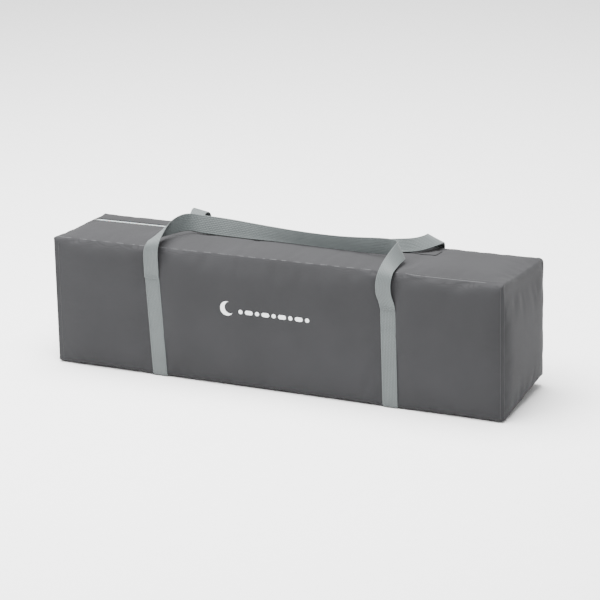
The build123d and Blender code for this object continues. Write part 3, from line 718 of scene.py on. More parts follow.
def oxford_cloth():
    """Grey plain weave, its threads drawn 1.3 mm apart so that they show, faded in patches.

    The greys are darker than the real cloth, because the studio lights are bright.
    """
    made, tree, shader = new_material(
        "oxford_cloth", Roughness=0.88, Sheen_Weight=0.06, Sheen_Roughness=0.4,
    )
    shader.inputs["Specular IOR Level"].default_value = 0.25
    place = add_node(tree, "TexCoord")
    weave = add_node(
        tree, "TexBrick",
        {
            "Scale": 1.0, "Mortar Size": 0.00022, "Mortar Smooth": 1.0,
            "Brick Width": 0.0026, "Row Height": 0.0013,
        },
        {"Vector": place.outputs["UV"]}, offset=0.5,
    )
    slub = add_node(tree, "TexNoise", {"Scale": 420.0, "Detail": 5.0}, {"Vector": place.outputs["Object"]})
    wear = add_node(tree, "TexNoise", {"Scale": 9.0, "Detail": 4.0}, {"Vector": place.outputs["Object"]})
    raised = add_node(
        tree, "Math", {1: -0.5}, {0: weave.outputs["Fac"], 2: slub.outputs[0]}, operation="MULTIPLY_ADD",
    )
    bump = add_node(tree, "Bump", {"Strength": 0.35, "Distance": 0.0003}, {"Height": raised.outputs[0]})
    tree.links.new(bump.outputs[0], shader.inputs["Normal"])
    tints = {6: colour("#29292a"), 7: colour("#353537")}
    dye = add_node(tree, "Mix", tints, {0: wear.outputs[0]}, data_type="RGBA")
    # Painted shade: the gaps between the threads are darkened towards this near black colour.
    painted_gap_shade = {7: colour("#19191a")}
    gap_shade_mask = add_node(tree, "Math", {1: 0.45}, {0: weave.outputs["Fac"]}, operation="MULTIPLY")
    cloth = add_node(tree, "Mix", painted_gap_shade, {0: gap_shade_mask.outputs[0], 6: dye.outputs[2]}, data_type="RGBA")
    tree.links.new(cloth.outputs[2], shader.inputs["Base Color"])
    return made


def lay_weave(piece, across, along):
    """Writes the weave's directions, in metres, as the piece's UV map."""
    mesh = piece.data
    while mesh.uv_layers:
        mesh.uv_layers.remove(mesh.uv_layers[0])
    layer = mesh.uv_layers.new(name="weave")
    for loop in mesh.loops:
        x, y, z = mesh.vertices[loop.vertex_index].co
        layer.data[loop.index].uv = (across(x, y, z), along(x, y, z))


oxford = oxford_cloth()
WEAVE_WAYS = {
    "front_panel": (lambda x, y, z: x, lambda x, y, z: z - y),
    "back_panel": (lambda x, y, z: x, lambda x, y, z: z + y),
    "bottom_gusset": (lambda x, y, z: x, lambda x, y, z: y),
    "left_end_gusset": (lambda x, y, z: y, lambda x, y, z: z),
    "right_gusset": (lambda x, y, z: y, lambda x, y, z: x - z),
    "top_front_gusset": (lambda x, y, z: x, lambda x, y, z: y),
    "top_back_gusset": (lambda x, y, z: x, lambda x, y, z: y),
}
select_only(bag)
bpy.ops.object.mode_set(mode="EDIT")
bpy.ops.mesh.separate(type="MATERIAL")
bpy.ops.object.mode_set(mode="OBJECT")
cut_out = {}
for piece in list(bpy.context.selected_objects):
    label = piece.data.materials[piece.data.polygons[0].material_index].name
    cut_out[label.removeprefix("cut_")] = piece
bpy.data.objects.remove(cut_out.pop("zip_slot"))
for name, piece in cut_out.items():
    piece.name = "cloth_" + name
    piece.data.materials.clear()
    piece.data.materials.append(oxford)
    lay_weave(piece, *WEAVE_WAYS[name])
    layer = piece.modifiers.new("Layer", "SOLIDIFY")
    layer.thickness = CLOTH
    layer.offset = -1
    finish_modifiers(piece)
    bpy.ops.object.shade_smooth_by_angle(angle=math.radians(50))
    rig.replaces(piece, name)
    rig.slot(piece, "bag_cloth")
    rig.padded(piece, fill=0.5)

# The top's two halves bunch up towards the seams as the zip's lips are drawn apart.
LIP_TRAVEL = {"front": 0.0747, "back": 0.0249}
for side, sign, slot_y, seam_y in (("front", -1, slot_front, front_y), ("back", 1, slot_back, back_y)):
    piece = cut_out[f"top_{side}_gusset"]
    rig.ride(piece, "packed_bag")
    reach = abs(slot_y - seam_y) - 0.002
    across = Vector((0, sign, -sign * TOP_FALL_BACK / (back_y - front_y)))
    anchor = (0, seam_y - sign * 0.002, top_at(0, seam_y))
    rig.squash(piece, "zip_slide", axis=across, anchor=anchor, keep=1 - LIP_TRAVEL[side] / reach)
for name in ("front_panel", "back_panel", "bottom_gusset", "left_end_gusset", "right_gusset"):
    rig.ride(cut_out[name], "packed_bag")

# ---------------------------------------------------------------- seam binding
# Bias tape of dark polyester is folded over the raw edges, inside the front and back seams.


def bias_tape():
    """Dark plain weave cut on the slant, with threads about 1 mm apart."""
    made, tree, shader = new_material("bias_tape", Roughness=0.85, Sheen_Weight=0.2)
    place = add_node(tree, "TexCoord").outputs["Object"]
    ribs = add_node(
        tree, "TexWave", {"Scale": 160.0, "Distortion": 0.4}, {"Vector": place}, bands_direction="DIAGONAL",
    )
    bump = add_node(tree, "Bump", {"Strength": 0.3, "Distance": 0.0003}, {"Height": ribs.outputs[1]})
    tree.links.new(bump.outputs[0], shader.inputs["Normal"])
    tints = {6: colour("#3b3c3e"), 7: colour("#505153")}
    dye = add_node(tree, "Mix", tints, {0: ribs.outputs[1]}, data_type="RGBA")
    tree.links.new(dye.outputs[2], shader.inputs["Base Color"])
    return made


BINDING_WIDTH, BINDING_THICK = 0.008, 0.0008
binding_cloth = bias_tape()
for side, edge_y, sign in (("front", front_y, 1), ("back", back_y, -1)):
    select_only(cut_out["bottom_gusset"])
    for name in ("left_end_gusset", "right_gusset", "top_front_gusset", "top_back_gusset"):
        cut_out[name].select_set(True)
    bpy.ops.object.duplicate()
    bpy.ops.object.join()
    binding = bpy.context.object
    binding.name = f"binding_{side}"
    for key in list(binding.keys()):
        del binding[key]
    binding.parent = None
    binding.matrix_world = Matrix.Identity(4)
    near, far = edge_y + sign * 0.0045, edge_y + sign * (0.0045 + BINDING_WIDTH)
    bpy.ops.object.mode_set(mode="EDIT")
    bpy.ops.mesh.select_all(action="SELECT")
    bpy.ops.mesh.bisect(plane_co=(0, near, 0), plane_no=(0, -sign, 0), clear_outer=True)
    bpy.ops.mesh.select_all(action="SELECT")
    bpy.ops.mesh.bisect(plane_co=(0, far, 0), plane_no=(0, sign, 0), clear_outer=True)
    bpy.ops.object.mode_set(mode="OBJECT")
    middle = Vector((0, 0, top_z / 2))
    for face in binding.data.polygons:
        outward = Vector((face.center.x / right_x, 0, (face.center.z - middle.z) / middle.z))
        face.select = face.normal.dot(outward) > 0
    bpy.ops.object.mode_set(mode="EDIT")
    bpy.ops.mesh.delete(type="FACE")
    bpy.ops.mesh.select_all(action="SELECT")
    bpy.ops.mesh.remove_doubles(threshold=0.0005)
    bpy.ops.mesh.normals_make_consistent(inside=False)
    bpy.ops.object.mode_set(mode="OBJECT")
    fold = binding.modifiers.new("Fold", "SOLIDIFY")
    fold.thickness = BINDING_THICK
    fold.offset = -1
    finish_modifiers(binding)
    bpy.ops.object.shade_smooth()
    binding.data.materials.clear()
    binding.data.materials.append(binding_cloth)
    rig.ride(binding, "packed_bag")
    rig.replaces(binding, f"{side}_seam_binding")
    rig.slot(binding, "seam_binding")

# ---------------------------------------------------------------- zip tapes and coils
# Each half of the zip is a light grey polyester tape with a nylon monofilament coil sewn along
# its edge. The coil's loops are 2.5 mm apart here, so the closed zip reads as a toothed line.
# Both are drawn raised in the slot so that they show, and cut into the slider and stop there.


def zip_tape_cloth():
    """Herringbone tape: fine ribs that slope, about 1.2 mm apart."""
    made, tree, shader = new_material("zip_tape_cloth", Roughness=0.8, Sheen_Weight=0.2)
    place = add_node(tree, "TexCoord").outputs["Object"]
    ribs = add_node(
        tree, "TexWave", {"Scale": 130.0, "Distortion": 0.3}, {"Vector": place}, bands_direction="DIAGONAL",
    )
    bump = add_node(tree, "Bump", {"Strength": 0.35, "Distance": 0.0003}, {"Height": ribs.outputs[1]})
    tree.links.new(bump.outputs[0], shader.inputs["Normal"])
    tints = {6: colour("#a9b0b1"), 7: colour("#c6cccc")}
    dye = add_node(tree, "Mix", tints, {0: ribs.outputs[1]}, data_type="RGBA")
    tree.links.new(dye.outputs[2], shader.inputs["Base Color"])
    return made


def nylon_monofilament():
    """Light, slightly milky nylon with a soft gloss along each loop."""
    made, tree, shader = new_material("nylon_monofilament", Roughness=0.36, IOR=1.53)
    shader.inputs["Subsurface Weight"].default_value = 0.1
    shader.inputs["Subsurface Scale"].default_value = 0.001
    place = add_node(tree, "TexCoord").outputs["Object"]
    cloud = add_node(tree, "TexNoise", {"Scale": 300.0, "Detail": 2.0}, {"Vector": place})
    tints = {6: colour("#a4abab"), 7: colour("#bcc2c2")}
    dye = add_node(tree, "Mix", tints, {0: cloud.outputs[0]}, data_type="RGBA")
    tree.links.new(dye.outputs[2], shader.inputs["Base Color"])
    return made


def gather(name, places, model, material):
    """One object made of copies of a small model, one at each place. The model is then removed."""
    vertices, faces = [], []
    for place in places:
        first = len(vertices)
        vertices += [place @ v.co for v in model.data.vertices]
        faces += [[first + i for i in face.vertices] for face in model.data.polygons]
    mesh = bpy.data.meshes.new(name)
    mesh.from_pydata(vertices, [], faces)
    mesh.materials.append(material)
    piece = bpy.data.objects.new(name, mesh)
    bpy.context.scene.collection.objects.link(piece)
    bpy.data.objects.remove(model)
    select_only(piece)
    bpy.ops.object.shade_smooth()
    return piece


tape_cloth, coil_nylon = zip_tape_cloth(), nylon_monofilament()
COIL_PITCH, COIL_INSET, TAPE_THICK = 0.0025, 0.0011, 0.0006
along_top = Vector((1, 0, TOP_FALL_LEFT / (right_x - left_x))).normalized()
back_along_top = top_normal.cross(along_top)
top_axes = Matrix((along_top, back_along_top, top_normal)).transposed()
for side, sign in (("front", -1), ("back", 1)):
    coil_low, coil_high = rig.box(f"zip_coil_{side}")
    tape_low, tape_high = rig.box(f"zip_tape_{side}")
    loop_y = (coil_low.y + coil_high.y) / 2
    outer_y = tape_low.y if sign < 0 else tape_high.y
    slot_y = slot_front if sign < 0 else slot_back
    profile = (
        (loop_y, 0.0013),
        (slot_y - sign * 0.0025, 0.0012),
        (slot_y - sign * 0.0008, 0.0017),
        (slot_y + sign * 0.0006, 0.0024),
        (outer_y, 0.0025),
    )
    bpy.ops.object.select_all(action="DESELECT")
    bpy.ops.mesh.primitive_grid_add(x_subdivisions=len(profile) - 1, y_subdivisions=60, size=1)
    tape = bpy.context.object
    tape.name = f"woven_tape_{side}"
    for vertex in tape.data.vertices:
        y, inset = profile[round((vertex.co.x + 0.5) * (len(profile) - 1))]
        x = tape_low.x + (tape_high.x - tape_low.x) * (vertex.co.y + 0.5)
        vertex.co = (x, y, top_at(x, y) - inset)
    bpy.ops.object.mode_set(mode="EDIT")
    bpy.ops.mesh.select_all(action="SELECT")
    bpy.ops.mesh.normals_make_consistent(inside=False)
    bpy.ops.object.mode_set(mode="OBJECT")
    if tape.data.polygons[0].normal.z < 0:
        tape.data.flip_normals()
    layer = tape.modifiers.new("Layer", "SOLIDIFY")
    layer.thickness = TAPE_THICK
    layer.offset = -1
    finish_modifiers(tape)
    bpy.ops.object.shade_smooth_by_angle(angle=math.radians(50))
    tape.data.materials.append(tape_cloth)
    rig.ride(tape, f"{side}_lip")
    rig.replaces(tape, f"zip_tape_{side}")
    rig.slot(tape, "zip_tape")
    bpy.ops.object.select_all(action="DESELECT")
    bpy.ops.mesh.primitive_torus_add(
        major_segments=12, minor_segments=6, major_radius=0.00125, minor_radius=0.00042,
        rotation=(0, math.pi / 2, 0.35),
    )
    loop = bpy.context.object
    bpy.ops.object.transform_apply(location=True, rotation=True, scale=True)
    bpy.ops.object.mode_set(mode="EDIT")
    bpy.ops.transform.resize(value=(1, 1.0, 0.62))
    bpy.ops.object.mode_set(mode="OBJECT")
    places = []
    steps = int((coil_high.x - coil_low.x) / COIL_PITCH)
    for i in range(steps):
        x = coil_low.x + COIL_PITCH * (i + (0.75 if sign > 0 else 0.25))
        at = Vector((x, loop_y, top_at(x, loop_y) - COIL_INSET))
        places.append(Matrix.Translation(at) @ top_axes.to_4x4())
    coil = gather(f"coil_loops_{side}", places, loop, coil_nylon)
    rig.ride(coil, f"{side}_lip")
    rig.replaces(coil, f"zip_coil_{side}")
    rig.slot(coil, "zip_coil")

# ---------------------------------------------------------------- zip slider, pull and stop
# The slider and its pull are die-cast zinc, tumbled and nickel plated. The stop is a crimped
# strip of the same metal.


def nickel_plated_zinc():
    """Warm grey metal, tumbled to a soft shine."""
    made, tree, shader = new_material("nickel_plated_zinc", Metallic=1.0, Roughness=0.3)
    place = add_node(tree, "TexCoord").outputs["Object"]
    tumble = add_node(tree, "TexNoise", {"Scale": 500.0, "Detail": 4.0}, {"Vector": place})
    gloss = add_node(tree, "MapRange", {"To Min": 0.22, "To Max": 0.42}, {"Value": tumble.outputs[0]})
    tree.links.new(gloss.outputs[0], shader.inputs["Roughness"])
    tints = {6: colour("#a9a8a4"), 7: colour("#cbcac6")}
    plate = add_node(tree, "Mix", tints, {0: tumble.outputs[0]}, data_type="RGBA")
    tree.links.new(plate.outputs[2], shader.inputs["Base Color"])
    return made


plated_zinc = nickel_plated_zinc()
for name in ("zip_slider", "zip_pull", "zip_bottom_stop"):
    finish_node(name, plated_zinc)

# ---------------------------------------------------------------- zip end tab
# A folded patch of the bag's cloth is sewn over the closed end of the zip, down on to both
# halves of the top.


def drape(piece, gap):
    """Lays a piece's underside on the skin below it, a small gap clear of it."""
    lowest = {}
    for vertex in piece.data.vertices:
        x, y, z = vertex.co
        hit = skin.ray_cast(Vector((x, y, top_z + 0.05)), Vector((0, 0, -1)))[0]
        lowest[vertex.index] = hit.z if hit else top_at(x, y)
    for vertex in piece.data.vertices:
        vertex.co.z += lowest[vertex.index] + gap


tab_low, tab_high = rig.box("zip_end_tab")
TAB_THICK = 0.001
tab = add_block("end_tab", (tab_low.x, tab_low.y, 0), (tab_high.x, tab_high.y, TAB_THICK))
bpy.ops.object.mode_set(mode="EDIT")
for at in steps_between(tab_low.x, tab_high.x, 0.005):
    cut((at, 0, 0), (1, 0, 0))
for at in steps_between(tab_low.y, tab_high.y, 0.004):
    cut((0, at, 0), (0, 1, 0))
bpy.ops.object.mode_set(mode="OBJECT")
drape(tab, 0.0002)
lay_weave(tab, lambda x, y, z: x, lambda x, y, z: y)
soften = tab.modifiers.new("Soften", "BEVEL")
soften.width = 0.0004
soften.segments = 2
finish_modifiers(tab)
bpy.ops.object.shade_smooth()
tab.data.materials.append(oxford)
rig.ride(tab, "packed_bag")
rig.replaces(tab, "zip_end_tab")
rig.slot(tab, "bag_cloth")
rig.sheet(
    tab, flat=(0.057, 0.030), held="laid",
    rests_on=["cloth_top_front_gusset", "cloth_top_back_gusset"],
)

# ---------------------------------------------------------------- straps
# Two lengths of 25 mm polypropylene webbing are sewn up the front, under the bag and up the
# back. The webbing is a ribbed weave in light grey, 1.4 mm thick, with a firm selvedge.


def webbing_weave():
    """Ribs drawn coarse so that they show: 5 mm along the band and 2.5 mm across it, staggered.

    The greys are darker than the real webbing, because the studio lights are bright.
    """
    made, tree, shader = new_material("polypropylene_webbing", Roughness=0.62, Sheen_Weight=0.15)
    place = add_node(tree, "TexCoord")
    ribs = add_node(
        tree, "TexBrick",
        {
            "Scale": 1.0, "Mortar Size": 0.0006, "Mortar Smooth": 1.0,
            "Brick Width": 0.005, "Row Height": 0.0025,
        },
        {"Vector": place.outputs["UV"]}, offset=0.5,
    )
    fibre = add_node(tree, "TexNoise", {"Scale": 900.0, "Detail": 3.0}, {"Vector": place.outputs["Object"]})
    soil = add_node(tree, "TexNoise", {"Scale": 30.0, "Detail": 3.0}, {"Vector": place.outputs["Object"]})
    raised = add_node(
        tree, "Math", {1: -1.2}, {0: ribs.outputs["Fac"], 2: fibre.outputs[0]}, operation="MULTIPLY_ADD",
    )
    bump = add_node(tree, "Bump", {"Strength": 0.6, "Distance": 0.0004}, {"Height": raised.outputs[0]})
    tree.links.new(bump.outputs[0], shader.inputs["Normal"])
    tints = {6: colour("#4c5252"), 7: colour("#5c6363")}
    dye = add_node(tree, "Mix", tints, {0: soil.outputs[0]}, data_type="RGBA")
    # Painted shade: the gaps between the ribs are darkened towards a near black grey.
    gap_shade_mask = add_node(tree, "Math", {1: 0.75}, {0: ribs.outputs["Fac"]}, operation="MULTIPLY")
    yarn = add_node(
        tree, "Mix", {7: colour("#2a2f2f")}, {0: gap_shade_mask.outputs[0], 6: dye.outputs[2]}, data_type="RGBA",
    )
    tree.links.new(yarn.outputs[2], shader.inputs["Base Color"])
    return made


def lay_band(name, sections):
    """A band of webbing from a grid primitive: each section is the band's two edge points."""
    columns = 5
    bpy.ops.object.select_all(action="DESELECT")
    bpy.ops.mesh.primitive_grid_add(x_subdivisions=columns, y_subdivisions=len(sections) - 1, size=1)
    band = bpy.context.object
    band.name = name
    lengths = [0.0]
    for (a, b), (c, d) in zip(sections, sections[1:]):
        step = (Vector(c) + Vector(d) - Vector(a) - Vector(b)).length / 2
        lengths.append(lengths[-1] + step)
    layer = band.data.uv_layers[0]
    row_of, share_of = {}, {}
    for vertex in band.data.vertices:
        row_of[vertex.index] = round((vertex.co.y + 0.5) * (len(sections) - 1))
        share_of[vertex.index] = vertex.co.x + 0.5
    for loop in band.data.loops:
        i = loop.vertex_index
        layer.data[loop.index].uv = (lengths[row_of[i]], share_of[i] * web_width)
    for vertex in band.data.vertices:
        near, far = sections[row_of[vertex.index]]
        vertex.co = Vector(near).lerp(Vector(far), share_of[vertex.index])
    return band


def thicken_band(band):
    """Smooths a band, gives it the webbing's thickness and rounds its selvedges."""
    band.modifiers.new("Smooth", "SUBSURF").levels = 2
    body = band.modifiers.new("Body", "SOLIDIFY")
    body.thickness = web_thick
    body.offset = 0
    selvedge = band.modifiers.new("Selvedge", "BEVEL")
    selvedge.width = 0.0004
    selvedge.segments = 2
    selvedge.limit_method = "ANGLE"
    finish_modifiers(band)
    bpy.ops.object.shade_smooth()


webbing = webbing_weave()
half_web = web_width / 2
web_y = front_y - web_thick / 2 - 0.0001
for side, (foot_x, head_x, head_z) in zip(("left", "right"), STRAP_LINES):
    route = [(web_y, head_z - head_z * i / 12) for i in range(12)]
    route += [(web_y, 0.006), (web_y + 0.0008, 0.0022), (web_y + 0.003, 0.0008)]
    route += [(web_y + 0.02, 0.0007), (-0.04, 0.0007)]
    route += [(-y, z) for y, z in reversed(route)]
    sections = []
    for y, z in route:
        middle_x = foot_x + (head_x - foot_x) * max(z, 0) / head_z
        sections.append(((middle_x + half_web, y, z), (middle_x - half_web, y, z)))
    strap = lay_band(f"webbing_strap_{side}", sections)
    thicken_band(strap)
    strap.data.materials.append(webbing)
    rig.ride(strap, "packed_bag")
    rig.replaces(strap, f"strap_{side}")
    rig.slot(strap, "webbing")
    band_length = 2 * head_z + (back_y - front_y)
    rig.sheet(strap, flat=(web_width, band_length), held="stretched", rests_on=["cloth_front_panel"])

# ---------------------------------------------------------------- carry handles
# The same webbing makes the two carry handles. Each is sewn over the upper ends of the straps
# and is limp, so it lies over on the bag: the front one stands on edge, the back one leans.
FRONT_HANDLE = (
    ((-0.1925, -0.0923, 0.161), (-0.2175, -0.0923, 0.161)),
    ((-0.192, -0.0924, 0.166), (-0.217, -0.0924, 0.166)),
    ((-0.1915, -0.0932, 0.174), (-0.2168, -0.0932, 0.174)),
    ((-0.1905, -0.096, 0.192), (-0.216, -0.096, 0.192)),
    ((-0.188, -0.101, 0.212), (-0.213, -0.101, 0.209)),
    ((-0.186, -0.099, 0.223), (-0.21, -0.099, 0.217)),
    ((-0.186, -0.09, 0.231), (-0.209, -0.094, 0.221)),
    ((-0.189, -0.072, 0.2355), (-0.208, -0.089, 0.2225)),
    ((-0.193, -0.055, 0.2375), (-0.207, -0.085, 0.2225)),
    ((-0.196, -0.041, 0.238), (-0.2055, -0.076, 0.221)),
    ((-0.1955, -0.034, 0.24), (-0.203, -0.064, 0.2195)),
    ((-0.1945, -0.027, 0.2415), (-0.2, -0.05, 0.2185)),
    ((-0.192, -0.017, 0.243), (-0.195, -0.033, 0.2175)),
    ((-0.188, -0.008, 0.244), (-0.19, -0.018, 0.217)),
    ((-0.18, 0.003, 0.243), (-0.18, -0.004, 0.217)),
    ((-0.165, 0.008, 0.24), (-0.165, -0.001, 0.2135)),
    ((-0.147, 0.008, 0.24), (-0.147, -0.001, 0.213)),
    ((-0.11, 0.008, 0.239), (-0.11, -0.001, 0.2125)),
    ((-0.073, 0.006, 0.237), (-0.073, -0.002, 0.2115)),
    ((-0.03, 0.002, 0.236), (-0.03, -0.002, 0.2125)),
    ((0.01, -0.002, 0.2355), (0.01, -0.004, 0.2125)),
    ((0.05, -0.005, 0.236), (0.05, -0.006, 0.2135)),
    ((0.085, -0.0078, 0.2373), (0.085, -0.008, 0.2145)),
    ((0.125, -0.014, 0.242), (0.125, -0.014, 0.2175)),
    ((0.15, -0.021, 0.2465), (0.149, -0.019, 0.22)),
    ((0.169, -0.025, 0.2485), (0.17, -0.024, 0.222)),
    ((0.182, -0.03, 0.2495), (0.188, -0.03, 0.2235)),
    ((0.19, -0.037, 0.25), (0.204, -0.039, 0.225)),
    ((0.19, -0.047, 0.248), (0.205, -0.05, 0.2245)),
    ((0.188, -0.06, 0.2435), (0.2035, -0.064, 0.223)),
    ((0.186, -0.074, 0.237), (0.204, -0.078, 0.2205)),
    ((0.1835, -0.088, 0.228), (0.205, -0.0915, 0.22)),
    ((0.181, -0.098, 0.217), (0.2045, -0.099, 0.212)),
    ((0.178, -0.1005, 0.201), (0.203, -0.1005, 0.2)),
    ((0.177, -0.097, 0.183), (0.2025, -0.097, 0.183)),
    ((0.1805, -0.0932, 0.171), (0.2058, -0.0932, 0.171)),
    ((0.182, -0.0924, 0.163), (0.207, -0.0924, 0.163)),
    ((0.182, -0.0923, 0.158), (0.207, -0.0923, 0.158)),
)
BACK_HANDLE = (
    ((-0.1925, 0.0923, 0.161), (-0.2175, 0.0923, 0.161)),
    ((-0.192, 0.0924, 0.166), (-0.217, 0.0924, 0.166)),
    ((-0.1918, 0.0932, 0.174), (-0.2172, 0.0932, 0.174)),
    ((-0.1915, 0.096, 0.193), (-0.2175, 0.096, 0.193)),
    ((-0.191, 0.0975, 0.21), (-0.217, 0.098, 0.212)),
    ((-0.1905, 0.089, 0.219), (-0.2165, 0.091, 0.2225)),
    ((-0.19, 0.076, 0.222), (-0.216, 0.078, 0.226)),
    ((-0.186, 0.062, 0.222), (-0.211, 0.06, 0.222)),
    ((-0.181, 0.047, 0.221), (-0.205, 0.042, 0.216)),
    ((-0.174, 0.036, 0.2205), (-0.194, 0.024, 0.2125)),
    ((-0.16, 0.03, 0.22), (-0.172, 0.009, 0.2105)),
    ((-0.135, 0.028, 0.2195), (-0.14, 0.0045, 0.21)),
    ((-0.073, 0.028, 0.2195), (-0.073, 0.004, 0.2105)),
    ((0, 0.028, 0.22), (0, 0.004, 0.211)),
    ((0.085, 0.028, 0.221), (0.085, 0.0045, 0.2115)),
    ((0.125, 0.029, 0.225), (0.125, 0.009, 0.211)),
    ((0.15, 0.029, 0.23), (0.151, 0.015, 0.211)),
    ((0.17, 0.029, 0.2325), (0.178, 0.022, 0.2115)),
    ((0.184, 0.038, 0.232), (0.198, 0.032, 0.214)),
    ((0.192, 0.048, 0.2325), (0.211, 0.046, 0.217)),
    ((0.196, 0.058, 0.2325), (0.218, 0.064, 0.2175)),
    ((0.194, 0.071, 0.231), (0.217, 0.078, 0.2155)),
    ((0.191, 0.084, 0.2245), (0.215, 0.088, 0.214)),
    ((0.189, 0.095, 0.212), (0.2135, 0.096, 0.2075)),
    ((0.187, 0.097, 0.193), (0.212, 0.097, 0.192)),
    ((0.183, 0.0932, 0.173), (0.208, 0.0932, 0.173)),
    ((0.182, 0.0924, 0.163), (0.207, 0.0924, 0.163)),
    ((0.182, 0.0923, 0.158), (0.207, 0.0923, 0.158)),
)
LYING_GAP = 0.0012
for side, route, sign in (("front", FRONT_HANDLE, -1), ("back", BACK_HANDLE, 1)):
    handle = lay_band(f"webbing_{side}_handle", route)
    for vertex in handle.data.vertices:
        above = Vector((vertex.co.x, vertex.co.y, top_z + 0.05))
        hit = skin.ray_cast(above, Vector((0, 0, -1)))[0]
        if hit and vertex.co.z > 0.19:
            vertex.co.z = max(vertex.co.z, hit.z + LYING_GAP)
    thicken_band(handle)
    handle.data.materials.append(webbing)
    sewn_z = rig.box(f"{side}_handle")[0].z
    handle_y = sign * (abs(web_y) + web_thick)
    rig.blend(
        handle, "packed_bag", f"{side}_handle",
        start=(0, handle_y, sewn_z), end=(0, handle_y, sewn_z + 0.012),
    )
    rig.replaces(handle, f"{side}_handle")
    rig.slot(handle, "webbing")
    middles = [(Vector(a) + Vector(b)) / 2 for a, b in route]
    band_length = sum((b - a).length for a, b in zip(middles, middles[1:]))
    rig.sheet(handle, flat=(web_width, band_length), held="hung", rests_on=["cloth_top_front_gusset"])

# ---------------------------------------------------------------- stitching
# All seams are lockstitched with bonded polyester thread. Each stitch is a short ridge of
# thread pulled down into the cloth; they are drawn thick and 4 mm apart so that they show.


def bonded_thread(name, dark, light):
    """Twisted thread with a slight gloss on its bonded surface."""
    made, tree, shader = new_material(name, Roughness=0.55, Sheen_Weight=0.1)
    place = add_node(tree, "TexCoord").outputs["Object"]
    twist = add_node(
        tree, "TexWave", {"Scale": 500.0, "Distortion": 0.5}, {"Vector": place}, bands_direction="DIAGONAL",
    )
    bump = add_node(tree, "Bump", {"Strength": 0.4, "Distance": 0.0002}, {"Height": twist.outputs[1]})
    tree.links.new(bump.outputs[0], shader.inputs["Normal"])
    tints = {6: colour(dark), 7: colour(light)}
    dye = add_node(tree, "Mix", tints, {0: twist.outputs[1]}, data_type="RGBA")
    tree.links.new(dye.outputs[2], shader.inputs["Base Color"])
    return made


def sew(name, lines, surface, thread, pitch=0.004):
    """Rows of stitches along straight lines, laid on a surface."""
    places = []
    for start, end in lines:
        start, end = Vector(start), Vector(end)
        count = max(1, int((end - start).length / pitch))
        for i in range(count):
            at, normal, _, _ = surface.find_nearest(start.lerp(end, (i + 0.5) / count))
            along = (end - start).normalized()
            along = (along - normal * along.dot(normal)).normalized()
            axes = Matrix((along, normal.cross(along), normal)).transposed().to_4x4()
            places.append(Matrix.Translation(at + normal * 0.00008) @ axes)
    bpy.ops.object.select_all(action="DESELECT")
    bpy.ops.mesh.primitive_uv_sphere_add(segments=8, ring_count=5, radius=1, rotation=(0, math.pi / 2, 0))
    stitch = bpy.context.object
    bpy.ops.object.transform_apply(location=True, rotation=True, scale=True)
    bpy.ops.object.mode_set(mode="EDIT")
    bpy.ops.transform.resize(value=(0.0017, 0.00058, 0.0003))
    bpy.ops.object.mode_set(mode="OBJECT")
    return gather(name, places, stitch, thread)


def surface_of(piece):
    """The surface of a piece, to lay things on."""
    return BVHTree.FromObject(piece, bpy.context.evaluated_depsgraph_get())


cloth_thread = bonded_thread("bonded_thread_grey", "#121314", "#1d1e20")
web_thread = bonded_thread("bonded_thread_light", "#3f4545", "#525858")
ROW_INSET = 0.0045
seam_in = SEAM_INSET + ROW_INSET
for side, edge_y, inward in (("front", front_y, 1), ("back", back_y, -1)):
    left_line = left_x + seam_in
    right_line = right_x - ROW_INSET
    row_y = edge_y + inward * seam_in
    turn_y = edge_y + inward * ROW_INSET
    low_z = 0.006 if side == "front" else TUCK_RISE + 0.006
    panel_rows = [
        ((left_line, edge_y, 0.006), (left_line, edge_y, top_at(left_x, edge_y) - 0.008)),
        ((right_line, edge_y, low_z), (right_line, edge_y, top_at(right_x, edge_y) - 0.008)),
        ((right_x, turn_y, low_z), (right_x, turn_y, top_at(right_x, edge_y) - 0.010)),
        ((cross_seam_x + 0.004, row_y, top_at(cross_seam_x, row_y)),
         (right_x - 0.012, row_y, top_at(right_x, row_y))),
    ]
    rows = sew(f"stitches_{side}_seam", panel_rows, skin, cloth_thread)
    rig.ride(rows, "packed_bag")
    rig.slot(rows, "seam_binding")
for side, sign, slot_y in (("front", -1, slot_front), ("back", 1, slot_back)):
    row_y = slot_y + sign * 0.003
    top_rows = [
        ((left_x + 0.005, row_y, top_at(left_x, row_y)),
         (cross_seam_x - 0.002, row_y, top_at(cross_seam_x, row_y))),
    ]
    rows = sew(f"stitches_top_{side}", top_rows, skin, cloth_thread)
    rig.ride(rows, "packed_bag")
    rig.slot(rows, "seam_binding")
    bunch = dict(cut_out[f"top_{side}_gusset"]["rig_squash"])
    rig.squash(rows, "zip_slide", bunch["axis"], bunch["anchor"], bunch["keep"])
tab_x, tab_y = (tab_low.x + 0.0025, tab_high.x - 0.0025), (tab_low.y + 0.0025, tab_high.y - 0.0025)
tab_z = top_at(tab_x[0], tab_y[0]) + 0.002
tab_rows = [((tab_x[0], y, tab_z), (tab_x[1], y, tab_z)) for y in tab_y]
tab_rows += [((x, tab_y[0], tab_z), (x, tab_y[1], tab_z)) for x in tab_x]
tab_stitches = sew("stitches_end_tab", tab_rows, surface_of(tab), cloth_thread)
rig.ride(tab_stitches, "packed_bag")
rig.slot(tab_stitches, "seam_binding")

